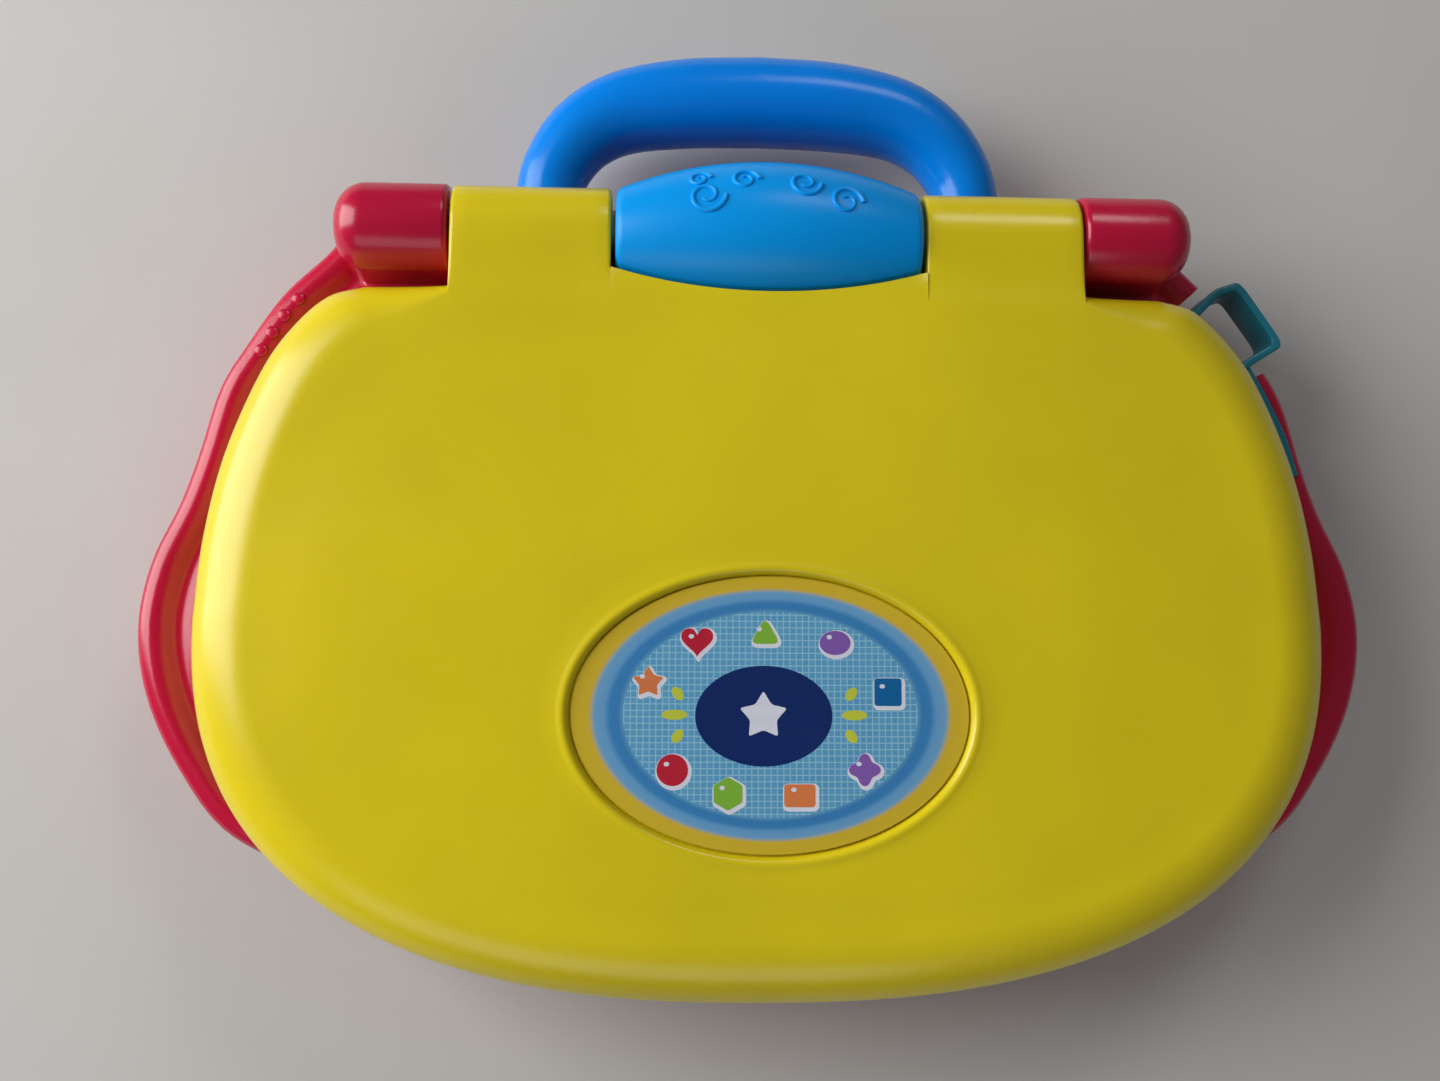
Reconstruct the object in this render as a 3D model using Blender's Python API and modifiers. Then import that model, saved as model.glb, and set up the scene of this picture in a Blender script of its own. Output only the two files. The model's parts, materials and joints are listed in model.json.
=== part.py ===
"""Toddler's toy laptop: a red base with nine shaped keys, and a yellow lid on a hinge.

All lengths below are in millimetres, and MM turns them into metres when a mesh is made.
X runs to the right, Y runs from the front edge to the carry handle, and Z is up.
Z is 0 under the rubber feet.
"""
import math

import bmesh
import bpy
from mathutils import Matrix, Vector

MM = 0.001

# Driving dimensions -------------------------------------------------------------------
GAP = 0.3                      # between two pieces that touch
SLIDE_GAP = 0.5                # round a piece that slides

# lid outline
LID_HALF_WIDTH = 131.5
LID_WIDEST_Y = -31.0
LID_FRONT_DEPTH = 86.0         # from the widest line to the front edge
LID_FRONT_POWER = 2.45         # 2 is an ellipse, more is squarer
LID_REAR_Y = 47.5
LID_SHOULDER_X = 95.0
LID_WALL = 2.4
LID_RIM_Z = 31.5
LID_EDGE_Z = 44.5              # where the side starts to round over
LID_EDGE_RUN = 15.0
LID_EDGE_RISE = 12.0
LID_CROWN = 2.0
LID_CAVITY_REAR_Y = 38.5

# base outline and levels
BASE_HALF_WIDTH = 150.0
BASE_REAR_Y = 70.0
BASE_WALL = 2.2
BASE_FRONT_SETBACK = 1.0       # of the base behind the lid's front edge
FLOOR_Z = 1.2
PARTING_Z = 17.0
DECK_Z = 28.5
RIM_Z = 30.5
BOTTOM_EDGE_RUN = 13.0
BOTTOM_EDGE_RISE = 10.0

# hinge
HINGE_Y = 62.0
HINGE_Z = 47.0
DRUM_HALF_LENGTH = 36.0
DRUM_RADIUS = 16.9
DRUM_END_RADIUS = 9.7
DRUM_CLEARANCE = 2.0
BARREL_RADIUS = 10.0
BARREL_START_X = 37.0
BARREL_END_X = 74.3
KNUCKLE_RADIUS = 10.3
KNUCKLE_START_X = 75.0
KNUCKLE_END_X = 102.0
PIN_RADIUS = 2.0
PIN_START_X = 58.0
PIN_END_X = 96.0
SLEEVE_RADIUS = 5.0
SLEEVE_BORE = 3.4
SLEEVE_START_X = 29.0
SLEEVE_END_X = 46.0
SADDLE_FRONT_Y = 49.5
SADDLE_TOP_Z = 35.5
SADDLE_HALF_LENGTH = 98.0

# carry handle
HANDLE_ROOT_X = 53.5
HANDLE_REACH_Y = 105.5         # centre line of the grip
HANDLE_Z = 22.5
HANDLE_GRIP_RADIUS = 11.4
HANDLE_ROOT_RADIUS = 8.5
FLANGE_RADIUS = 9.9
FLANGE_THICKNESS = 3.0

# keys
KEY_RADIUS = 12.5
KEY_PITCH = 36.0
KEY_REAR_ROW_Y = -20.0
KEY_FRONT_ROW_Y = -58.0
KEY_TOP_Z = 33.4
KEY_FLANGE = 1.6
KEY_FLANGE_Z = 26.3
KEY_FLANGE_THICKNESS = 1.4
PANEL_HALF_WIDTH = 90.0
PANEL_REAR_Y = -2.0
PANEL_FRONT_Y = -76.0
PANEL_THICKNESS = 2.0
PANEL_LEDGE = 2.0

# electronics in the base
BOARD_Z = 20.9
BOARD_THICKNESS = 1.6
MEMBRANE_THICKNESS = 0.8
SWITCH_Y = 22.0
MODE_TRAVEL = 8.0              # each way from the middle
POWER_SWITCH_X = 66.0
POWER_TRAVEL = 5.0
KNOB_HEIGHT = 4.0
SPEAKER_X = -92.0
SPEAKER_Y = 24.0
SPEAKER_RADIUS = 15.0

# batteries
CELL_RADIUS = 7.1
CELL_LENGTH = 49.5
BAY_Y = -30.0
BAY_HALF_LENGTH = 30.0
BAY_WALL = 1.6
COVER_THICKNESS = 2.0
COVER_SCREW_X = 38.0

# feet and screws
FOOT_RADIUS = 6.5
FOOT_POSITIONS = ((-88.0, -76.0), (88.0, -76.0), (-96.0, 36.0), (96.0, 36.0))
BASE_SCREW_POSITIONS = ((-106.0, -60.0), (106.0, -60.0), (-112.0, 0.0), (112.0, 0.0))
LID_SCREW_POSITIONS = ((-98.0, -62.0), (98.0, -62.0), (-98.0, 18.0), (98.0, 18.0))
SCREW_SHANK = 1.4
SCREW_HEAD = 2.9
SCREW_HEAD_HEIGHT = 1.5

# screen in the lid
BEZEL_Z = 34.2
BEZEL_THICKNESS = 2.4
SCREEN_Y = -30.0
SCREEN_WIDTH = 100.0
SCREEN_DEPTH = 62.0
SCREEN_CORNER = 10.0
SCREEN_MARGIN = 4.0            # of the window behind the bezel

# emblem on the lid
EMBLEM_Y = -52.2
EMBLEM_HALF_WIDTH = 45.0
EMBLEM_HALF_DEPTH = 31.2
EMBLEM_FLOOR_Z = 56.2
LABEL_THICKNESS = 0.6

# loop on the right rear corner, on a straight wall whose normal points out and back
LOOP_DIRECTION = Vector((0.831, 0.557))
LOOP_WALL_DISTANCE = 114.5     # of that wall from the origin, along its normal
LOOP_LOW_Z = 20.0
LOOP_HIGH_Z = 32.0
LOOP_THICKNESS = 2.0
LOOP_REAR_ROOT = 20.5          # along the wall, towards the front
LOOP_FRONT_ROOT = 40.0
LOOP_CORNERS = ((115.0, 55.3), (121.6, 57.5), (132.5, 41.0), (124.3, 36.0))
STRIP_POINTS = ((122.2, 35.4), (126.0, 28.4), (130.8, 17.5), (133.6, 7.5))
STRIP_WIDTH = 2.6
STRIP_LOW_Z = 28.8
STRIP_HIGH_Z = 31.2

ROUND_STEPS = 12               # sides of a small round piece

# Scene --------------------------------------------------------------------------------
for old in list(bpy.data.objects):
    bpy.data.objects.remove(old, do_unlink=True)

PARTS = bpy.data.collections.new("toy_laptop")
CUTTERS = bpy.data.collections.new("cutters")
bpy.context.scene.collection.children.link(PARTS)
bpy.context.scene.collection.children.link(CUTTERS)


# Materials ----------------------------------------------------------------------------
def finish(name, colour, roughness, metallic=0.0):
    """A Principled material of one colour."""
    material = bpy.data.materials.new(name)
    material.use_nodes = True
    shader = material.node_tree.nodes["Principled BSDF"]
    shader.inputs["Base Color"].default_value = (*colour, 1.0)
    shader.inputs["Roughness"].default_value = roughness
    shader.inputs["Metallic"].default_value = metallic
    material.diffuse_color = (*colour, 1.0)
    return material


RED = finish("red_plastic", (0.56, 0.01, 0.03), 0.3)
YELLOW = finish("yellow_plastic", (0.90, 0.72, 0.02), 0.3)
SKY_BLUE = finish("sky_blue_plastic", (0.0, 0.36, 0.72), 0.35)
HANDLE_BLUE = finish("handle_blue_plastic", (0.0, 0.16, 0.60), 0.25)
TEAL = finish("teal_plastic", (0.0, 0.27, 0.42), 0.35)
GREEN = finish("green_plastic", (0.18, 0.55, 0.04), 0.35)
ORANGE = finish("orange_plastic", (0.90, 0.25, 0.02), 0.35)
PURPLE = finish("purple_plastic", (0.25, 0.10, 0.50), 0.35)
WHITE = finish("white_plastic", (0.80, 0.80, 0.78), 0.4)
BLACK = finish("black_rubber", (0.03, 0.03, 0.03), 0.8)
STEEL = finish("steel", (0.55, 0.55, 0.57), 0.3, 1.0)
BOARD = finish("circuit_board", (0.02, 0.16, 0.06), 0.5)
SILICONE = finish("grey_silicone", (0.45, 0.45, 0.46), 0.6)
CELL = finish("battery_jacket", (0.02, 0.02, 0.03), 0.4)
CLEAR = finish("clear_window", (0.75, 0.80, 0.82), 0.1)
PRINT = finish("printed_label", (0.12, 0.35, 0.62), 0.4)


# Outlines -----------------------------------------------------------------------------
def smooth_line(points, steps=4):
    """Points along a smooth curve that passes through all the given points."""
    first = 2 * Vector(points[0]) - Vector(points[1])
    last = 2 * Vector(points[-1]) - Vector(points[-2])
    knots = [first, *(Vector(p) for p in points), last]
    line = []
    for a, b, c, d in zip(knots, knots[1:], knots[2:], knots[3:]):
        for step in range(steps):
            t = step / steps
            line.append(0.5 * (2 * b + (c - a) * t + (2 * a - 5 * b + 4 * c - d) * t * t
                               + (3 * b - a - 3 * c + d) * t ** 3))
    line.append(Vector(points[-1]))
    return line


def front_curve(setback=0.0, from_angle=90.0, to_angle=0.0, steps=11):
    """The squared oval of the front edge, from the middle of the front to one side."""
    power = 2.0 / LID_FRONT_POWER
    line = []
    for step in range(steps + 1):
        angle = math.radians(from_angle + (to_angle - from_angle) * step / steps)
        x = (LID_HALF_WIDTH - setback) * max(math.cos(angle), 0.0) ** power
        y = LID_WIDEST_Y - (LID_FRONT_DEPTH - setback) * max(math.sin(angle), 0.0) ** power
        line.append(Vector((x, y)))
    return line


def both_sides(half):
    """A closed outline from its right half, which runs from the front to the rear."""
    left = [Vector((-p.x, p.y)) for p in reversed(half) if p.x > 0.01]
    return list(half) + left


def lid_outline():
    """The lid from above: a squared oval in front, slanted sides and straight shoulders."""
    corner = LID_SHOULDER_X
    side = smooth_line([(LID_HALF_WIDTH, LID_WIDEST_Y),
                        (LID_HALF_WIDTH - 1.6, LID_WIDEST_Y + 19.0),
                        (LID_HALF_WIDTH - 5.7, LID_WIDEST_Y + 38.5),
                        (corner + 23.5, LID_REAR_Y - 21.0),
                        (corner + 16.5, LID_REAR_Y - 10.0),
                        (corner + 8.5, LID_REAR_Y - 2.5),
                        (corner, LID_REAR_Y)], 2)
    rear = [Vector((BARREL_END_X, LID_REAR_Y)), Vector((BARREL_START_X, LID_REAR_Y)),
            Vector((0.0, LID_REAR_Y))]
    return both_sides(front_curve() + side[1:] + rear)


def base_outline():
    """The base from above: it follows the lid in front and swells into two ear grips."""
    wide = BASE_HALF_WIDTH
    front = front_curve(BASE_FRONT_SETBACK, 90.0, 42.0, 6)
    side = smooth_line([front[-1], (wide - 24.0, -81.0), (wide - 11.5, -66.0),
                        (wide - 3.0, -49.0), (wide, -32.0), (wide - 2.5, -16.0),
                        (wide - 8.7, -1.5), (wide - 12.7, 11.0), (wide - 17.0, 27.0),
                        (wide - 23.0, 38.0), (wide - 31.5, 51.0), (wide - 41.0, 60.5),
                        (wide - 47.0, BASE_REAR_Y - 3.0), (wide - 54.0, BASE_REAR_Y)], 2)
    rear = [Vector((HANDLE_ROOT_X, BASE_REAR_Y)), Vector((0.0, BASE_REAR_Y))]
    return both_sides(front + side[1:] + rear)


def inset(outline, distance):
    """The outline moved in: squarely for the first few millimetres, then to its middle."""
    square = min(distance, 5.0)
    count = len(outline)
    middle = Vector((0.0, LID_WIDEST_Y + 10.0))
    moved = []
    for index, point in enumerate(outline):
        ahead = outline[(index + 1) % count] - point
        behind = point - outline[index - 1]
        normal_a = Vector((-ahead.y, ahead.x)).normalized()
        normal_b = Vector((-behind.y, behind.x)).normalized()
        normal = (normal_a + normal_b).normalized()
        reach = square / max(normal.dot(normal_a), 0.5)
        shifted = point + normal * reach
        inward = middle - shifted
        moved.append(shifted + inward.normalized() * (distance - square))
    return moved


def at_height(outline, z):
    """The outline's points at one height."""
    return [(p[0], p[1], z) for p in outline]


def rounded_box(low_x, low_y, high_x, high_y, radius, steps=3):
    """A rectangle with round corners."""
    corners = (((high_x - radius, low_y + radius), -90.0), ((high_x - radius, high_y - radius), 0.0),
               ((low_x + radius, high_y - radius), 90.0), ((low_x + radius, low_y + radius), 180.0))
    outline = []
    for (x, y), start in corners:
        for step in range(steps + 1):
            angle = math.radians(start + 90.0 * step / steps)
            outline.append(Vector((x + radius * math.cos(angle), y + radius * math.sin(angle))))
    return outline


def ellipse(half_width, half_depth, steps=16, centre=(0.0, 0.0)):
    """An ellipse round a centre."""
    turn = 2.0 * math.pi / steps
    return [Vector((centre[0] + half_width * math.cos(turn * i),
                    centre[1] + half_depth * math.sin(turn * i))) for i in range(steps)]


# Solids -------------------------------------------------------------------------------
def add_object(name, mesh, material=None, at=(0.0, 0.0, 0.0)):
    """An object for a mesh: a part if it has a material, and otherwise a cutter."""
    made = bpy.data.objects.new(name, mesh)
    made.location = Vector(at) * MM
    if material is None:
        CUTTERS.objects.link(made)
        made.hide_render = True
        made.display_type = "WIRE"
    else:
        PARTS.objects.link(made)
        mesh.materials.append(material)
    return made


def loft(name, rings, material=None, at=(0.0, 0.0, 0.0)):
    """A closed solid through rings of equal point count, capped at both ends."""
    shape = bmesh.new()
    loops = [[shape.verts.new(Vector(p) * MM) for p in ring] for ring in rings]
    for lower, upper in zip(loops, loops[1:]):
        for index in range(len(lower)):
            after = (index + 1) % len(lower)
            shape.faces.new((lower[index], lower[after], upper[after], upper[index]))
    shape.faces.new(loops[0])
    shape.faces.new(loops[-1])
    bmesh.ops.recalc_face_normals(shape, faces=shape.faces)
    mesh = bpy.data.meshes.new(name)
    shape.to_mesh(mesh)
    shape.free()
    mesh.shade_smooth()
    mesh.set_sharp_from_angle(angle=math.radians(35.0))
    return add_object(name, mesh, material, at)


def prism(name, outline, low_z, high_z, material=None, at=(0.0, 0.0)):
    """A flat outline raised from one height to another."""
    curve = bpy.data.curves.new(name, "CURVE")
    curve.dimensions = "2D"
    curve.fill_mode = "BOTH"
    curve.extrude = (high_z - low_z) / 2 * MM
    spline = curve.splines.new("POLY")
    spline.points.add(len(outline) - 1)
    for point, (x, y) in zip(spline.points, outline):
        point.co = (x * MM, y * MM, 0.0, 1.0)
    spline.use_cyclic_u = True
    guide = bpy.data.objects.new(name, curve)
    CUTTERS.objects.link(guide)
    mesh = mesh_of(guide)
    return add_object(name, mesh, material, (*at, (low_z + high_z) / 2))


def mesh_of(guide):
    """The welded mesh of a curve object, which is then removed."""
    bpy.context.view_layer.update()
    depsgraph = bpy.context.evaluated_depsgraph_get()
    mesh = bpy.data.meshes.new_from_object(guide.evaluated_get(depsgraph))
    bpy.data.objects.remove(guide, do_unlink=True)
    mesh.materials.clear()
    shape = bmesh.new()
    shape.from_mesh(mesh)
    bmesh.ops.remove_doubles(shape, verts=shape.verts, dist=0.00001)
    bmesh.ops.dissolve_limit(shape, angle_limit=math.radians(0.5), verts=shape.verts,
                             edges=shape.edges)
    bmesh.ops.recalc_face_normals(shape, faces=shape.faces)
    shape.to_mesh(mesh)
    shape.free()
    return mesh


def boxes(name, corners, material=None, at=(0.0, 0.0, 0.0)):
    """One object with a box for each pair of opposite corners."""
    shape = bmesh.new()
    for low, high in corners:
        size = Vector(high) - Vector(low)
        middle = (Vector(high) + Vector(low)) / 2
        matrix = Matrix.Translation(middle * MM) @ Matrix.Diagonal((*(size * MM), 1.0))
        bmesh.ops.create_cube(shape, size=1.0, matrix=matrix)
    mesh = bpy.data.meshes.new(name)
    shape.to_mesh(mesh)
    shape.free()
    return add_object(name, mesh, material, at)


def rods(name, ends, material=None, at=(0.0, 0.0, 0.0), steps=ROUND_STEPS):
    """One object with a cylinder for each (start, end, radius)."""
    shape = bmesh.new()
    for start, end, radius in ends:
        line = (Vector(end) - Vector(start)) * MM
        turn = Vector((0.0, 0.0, 1.0)).rotation_difference(line).to_matrix().to_4x4()
        middle = (Vector(start) + Vector(end)) / 2 * MM
        bmesh.ops.create_cone(shape, cap_ends=True, segments=steps, radius1=radius * MM,
                              radius2=radius * MM, depth=line.length,
                              matrix=Matrix.Translation(middle) @ turn)
    mesh = bpy.data.meshes.new(name)
    shape.to_mesh(mesh)
    shape.free()
    mesh.shade_smooth()
    mesh.set_sharp_from_angle(angle=math.radians(35.0))
    return add_object(name, mesh, material, at)


def turned(name, profile, material=None, at=(0.0, 0.0, 0.0), steps=ROUND_STEPS, along_x=False):
    """A turned piece: (radius, height) from its top to its bottom, on Z or on X."""
    mesh = bpy.data.meshes.new(name)
    points = [(radius * MM, 0.0, height * MM) for radius, height in profile]
    mesh.from_pydata(points, [(i, i + 1) for i in range(len(points) - 1)], [])
    made = add_object(name, mesh, material, at)
    screw = made.modifiers.new("turn", "SCREW")
    screw.steps = steps
    screw.render_steps = steps
    screw.use_merge_vertices = True
    screw.merge_threshold = 0.00001
    screw.use_smooth_shade = True
    if along_x:
        made.rotation_euler = (0.0, math.radians(90.0), 0.0)
    return made


def combine(target, operation, *others):
    """Cut others from the target, or join them to it."""
    for other in others:
        modifier = target.modifiers.new(operation.lower() + "_" + other.name, "BOOLEAN")
        modifier.operation = operation
        modifier.solver = "EXACT"
        modifier.object = other


def cut(target, *others):
    combine(target, "DIFFERENCE", *others)


def join(target, *others):
    combine(target, "UNION", *others)


def soften(made, width, segments=2):
    """Round the sharp edges of a piece."""
    bevel = made.modifiers.new("soft_edges", "BEVEL")
    bevel.width = width * MM
    bevel.segments = segments
    bevel.limit_method = "ANGLE"
    bevel.angle_limit = math.radians(50.0)


def drum_profile(extra=0.0, half_length=DRUM_HALF_LENGTH, steps=8):
    """The barrel-shaped drum, thicker in the middle, with flat ends."""
    rise = DRUM_RADIUS - DRUM_END_RADIUS
    arc = (rise ** 2 + DRUM_HALF_LENGTH ** 2) / (2 * rise)
    profile = [(0.0, half_length)]
    for step in range(steps + 1):
        x = half_length - 2 * half_length * step / steps
        profile.append((math.sqrt(arc ** 2 - x ** 2) - arc + DRUM_RADIUS + extra, x))
    profile.append((0.0, -half_length))
    return profile


# Base shells --------------------------------------------------------------------------
BASE = base_outline()
LID = lid_outline()
HINGE = (0.0, HINGE_Y, HINGE_Z)


def bottom_rings(wall=0.0):
    """Levels of the bottom shell from the floor up to the parting line."""
    rings = []
    for angle in (0.0, 30.0, 60.0, 90.0):
        run = BOTTOM_EDGE_RUN * (1.0 - math.sin(math.radians(angle))) + wall
        rise = BOTTOM_EDGE_RISE * (1.0 - math.cos(math.radians(angle)))
        rings.append(at_height(inset(BASE, run), FLOOR_Z + wall + rise))
    rings.append(at_height(inset(BASE, wall), PARTING_Z))
    return rings


def deck_rings():
    """Levels of the top shell's outside, from the parting line over the rim to the deck."""
    levels = ((0.0, PARTING_Z + GAP), (0.0, DECK_Z - 3.0), (1.2, RIM_Z - 1.4), (4.2, RIM_Z),
              (7.0, RIM_Z - 0.9), (10.0, DECK_Z - 0.7), (13.5, DECK_Z))
    return [at_height(inset(BASE, run), z) for run, z in levels]


def deck_inner_rings():
    """Levels of the top shell's inside, from the deck down to the parting line."""
    levels = ((14.5, DECK_Z - 2.4), (10.5, DECK_Z - 3.1), (5.0, RIM_Z - 2.9),
              (2.6, RIM_Z - 5.5), (BASE_WALL, PARTING_Z + GAP))
    return [at_height(inset(BASE, run), z) for run, z in levels]


def loop_point(along, out):
    """A point by its distance along the loop's wall and out from the origin."""
    side = Vector((LOOP_DIRECTION.y, -LOOP_DIRECTION.x))
    return LOOP_DIRECTION * out + side * along


def notch_outline(wall, margin):
    """The notch from above: its straight wall, and sides that open outwards."""
    reach = 40.0
    flare = 6.0
    rear = LOOP_REAR_ROOT - 3.5 - margin
    front = LOOP_FRONT_ROOT + 1.0 + margin
    return [loop_point(rear, wall), loop_point(front, wall),
            loop_point(front + flare, wall + reach), loop_point(rear - flare, wall + reach)]


def corner_notch(shell, outside_rings, suffix):
    """Step the right rear corner back to a straight wall that the loop stands on."""
    wall = LOOP_WALL_DISTANCE
    outside = loft("corner_outside_" + suffix, outside_rings)
    block = prism("corner_wall_" + suffix, notch_outline(wall - 3.5, 3.5), -5.0, 45.0)
    notch = prism("corner_cut_" + suffix, notch_outline(wall, 0.0), -10.0, 50.0)
    combine(outside, "INTERSECT", block)
    join(shell, outside)
    cut(shell, notch)


def rear_rods(name, radius, start_y, end_y):
    """A rod at each root of the carry handle."""
    return rods(name, [((side * HANDLE_ROOT_X, start_y, HANDLE_Z),
                        (side * HANDLE_ROOT_X, end_y, HANDLE_Z), radius) for side in (-1, 1)])


def make_bottom_shell():
    """The tub under the base, with the battery bay, screw posts and recesses for the feet."""
    inner = bottom_rings(BASE_WALL)
    shell = loft("base_bottom_shell", bottom_rings() + inner[::-1], RED)
    corner_notch(shell, bottom_rings(), "bottom")
    bay_depth = 2 * (2 * CELL_RADIUS + 0.9)
    low_y = BAY_Y - bay_depth / 2
    high_y = BAY_Y + bay_depth / 2
    roof_z = FLOOR_Z + COVER_THICKNESS + 2 * CELL_RADIUS + 1.2
    ledge = 6.0
    cover_end = COVER_SCREW_X + 5.0
    solid = boxes("bay_solid", [((-BAY_HALF_LENGTH - BAY_WALL, low_y - BAY_WALL, FLOOR_Z + 1.0),
                                 (BAY_HALF_LENGTH + BAY_WALL, high_y + BAY_WALL, roof_z + BAY_WALL))])
    seat = boxes("bay_seat", [((-BAY_HALF_LENGTH - ledge, low_y - ledge, FLOOR_Z + 0.8),
                               (cover_end + 3.0, high_y + ledge, FLOOR_Z + COVER_THICKNESS + 2.2))])
    posts = [((x, y, FLOOR_Z + 1.0), (x, y, 8.0), 5.2) for x, y in BASE_SCREW_POSITIONS]
    posts.append(((COVER_SCREW_X, BAY_Y, FLOOR_Z + 2.5), (COVER_SCREW_X, BAY_Y, 11.0), 4.0))
    recess = prism("cover_recess", rounded_box(-BAY_HALF_LENGTH - 3.0 - GAP, low_y - 3.0 - GAP,
                                               cover_end + GAP, high_y + 3.0 + GAP, 3.0),
                   FLOOR_Z - 2.0, FLOOR_Z + COVER_THICKNESS + GAP)
    pocket = boxes("bay_pocket", [((-BAY_HALF_LENGTH, low_y, -2.0),
                                   (BAY_HALF_LENGTH, high_y, roof_z))])
    bores = []
    for x, y in BASE_SCREW_POSITIONS:
        bores.append(((x, y, -2.0), (x, y, 5.6), SCREW_HEAD + 0.5))
    shanks = [((x, y, 4.0), (x, y, 12.0), SCREW_SHANK + GAP) for x, y in BASE_SCREW_POSITIONS]
    shanks.append(((COVER_SCREW_X, BAY_Y, 1.0), (COVER_SCREW_X, BAY_Y, 9.5), SCREW_SHANK + GAP))
    feet = [((x, y, -2.0), (x, y, FLOOR_Z + 0.9), FOOT_RADIUS + GAP) for x, y in FOOT_POSITIONS]
    join(shell, solid, seat, rods("base_posts", posts))
    cut(shell, recess, pocket, rods("head_bores", bores + feet), rods("shank_bores", shanks),
        rear_rods("bottom_handle_hole", HANDLE_ROOT_RADIUS + GAP, 60.0, 80.0))


def tower_outline():
    """The right-hand block under a hinge knuckle, with round outer corners, from above."""
    half = KNUCKLE_RADIUS - 0.1
    start = KNUCKLE_START_X + 0.4
    block = rounded_box(start, HINGE_Y - half, KNUCKLE_END_X - 1.5, HINGE_Y + half, 5.0)
    outer = [p for p in block if p.x > start + 5.1]
    return [Vector((start, HINGE_Y - half))] + outer + [Vector((start, HINGE_Y + half))]


def knuckle_profile():
    """A hinge knuckle: a cylinder with a small inner fillet and a full outer round."""
    r = KNUCKLE_RADIUS
    end = KNUCKLE_END_X
    start = KNUCKLE_START_X
    return [(0.0, end), (r - 5.5, end), (r - 2.2, end - 1.3), (r - 0.5, end - 4.2), (r, end - 7.5),
            (r, start + 1.4), (r - 0.5, start + 0.5), (r - 1.4, start), (0.0, start)]


def make_top_shell():
    """The deck with its raised rim, the saddle for the hinge and the two hinge knuckles."""
    shell = loft("base_top_shell", deck_rings()[::-1] + deck_inner_rings()[::-1], RED)
    corner_notch(shell, [at_height(inset(BASE, 2.0), PARTING_Z + GAP),
                         at_height(inset(BASE, 2.0), DECK_Z - 1.0)], "top")
    saddle = boxes("hinge_saddle", [((-SADDLE_HALF_LENGTH, SADDLE_FRONT_Y, DECK_Z - 4.0),
                                     (SADDLE_HALF_LENGTH, BASE_REAR_Y - 0.2, SADDLE_TOP_Z))])
    join(shell, saddle)
    for side, word in ((-1, "left"), (1, "right")):
        outline = [Vector((side * p.x, p.y)) for p in tower_outline()]
        tower = prism("tower_" + word, outline, DECK_Z - 6.0, HINGE_Z)
        knuckle = turned("knuckle_" + word, knuckle_profile(), at=HINGE, steps=20, along_x=True)
        if side < 0:
            knuckle.rotation_euler = (0.0, math.radians(-90.0), 0.0)
        join(shell, tower, knuckle)
    bosses = [((x, y, 8.3), (x, y, DECK_Z - 1.2), 4.0) for x, y in BASE_SCREW_POSITIONS]
    join(shell, rods("top_bosses", bosses))
    cavity = boxes("saddle_cavity", [((-SADDLE_HALF_LENGTH + 3.0, SADDLE_FRONT_Y + 2.5, 5.0),
                                      (SADDLE_HALF_LENGTH - 3.0, BASE_REAR_Y - 2.4,
                                       SADDLE_TOP_Z - 2.5))])
    seat = turned("drum_seat", drum_profile(GAP, DRUM_HALF_LENGTH + GAP), at=HINGE, steps=24,
                  along_x=True)
    pilots = [((x, y, 5.0), (x, y, 21.0), SCREW_SHANK + 0.15) for x, y in BASE_SCREW_POSITIONS]
    for side in (-1, 1):
        pilots.append(((side * (KNUCKLE_START_X - 4.0), HINGE_Y, HINGE_Z),
                       (side * (PIN_END_X + GAP), HINGE_Y, HINGE_Z), PIN_RADIUS + 0.2))
    key_window = prism("key_window", rounded_box(-PANEL_HALF_WIDTH + PANEL_LEDGE,
                                                 PANEL_FRONT_Y + PANEL_LEDGE,
                                                 PANEL_HALF_WIDTH - PANEL_LEDGE,
                                                 PANEL_REAR_Y - PANEL_LEDGE, 10.0),
                       DECK_Z - 8.0, DECK_Z + 4.0)
    slots = [switch_slot(0.0, MODE_TRAVEL), switch_slot(POWER_SWITCH_X, POWER_TRAVEL)]
    for row in range(-2, 3):
        y = SPEAKER_Y + 4.4 * row
        reach = math.sqrt((SPEAKER_RADIUS - 2.5) ** 2 - (4.4 * row) ** 2)
        slots.append(((SPEAKER_X - reach, y - 1.1, DECK_Z - 5.0),
                      (SPEAKER_X + reach, y + 1.1, DECK_Z + 2.0)))
    cut(shell, cavity, seat, rods("pilot_holes", pilots), key_window,
        boxes("deck_slots", slots),
        rear_rods("top_handle_hole", HANDLE_ROOT_RADIUS + GAP, 60.0, 80.0))
    groove = prism("strip_groove", strip_outline(GAP), STRIP_LOW_Z - GAP, STRIP_HIGH_Z + 5.0)
    cut(shell, groove)


def switch_slot(x, travel):
    """The slot in the deck that a switch knob's stem runs in."""
    reach = travel + 3.0 + SLIDE_GAP
    return ((x - reach, SWITCH_Y - 1.7 - SLIDE_GAP, DECK_Z - 5.0),
            (x + reach, SWITCH_Y + 1.7 + SLIDE_GAP, DECK_Z + 2.0))


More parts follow.
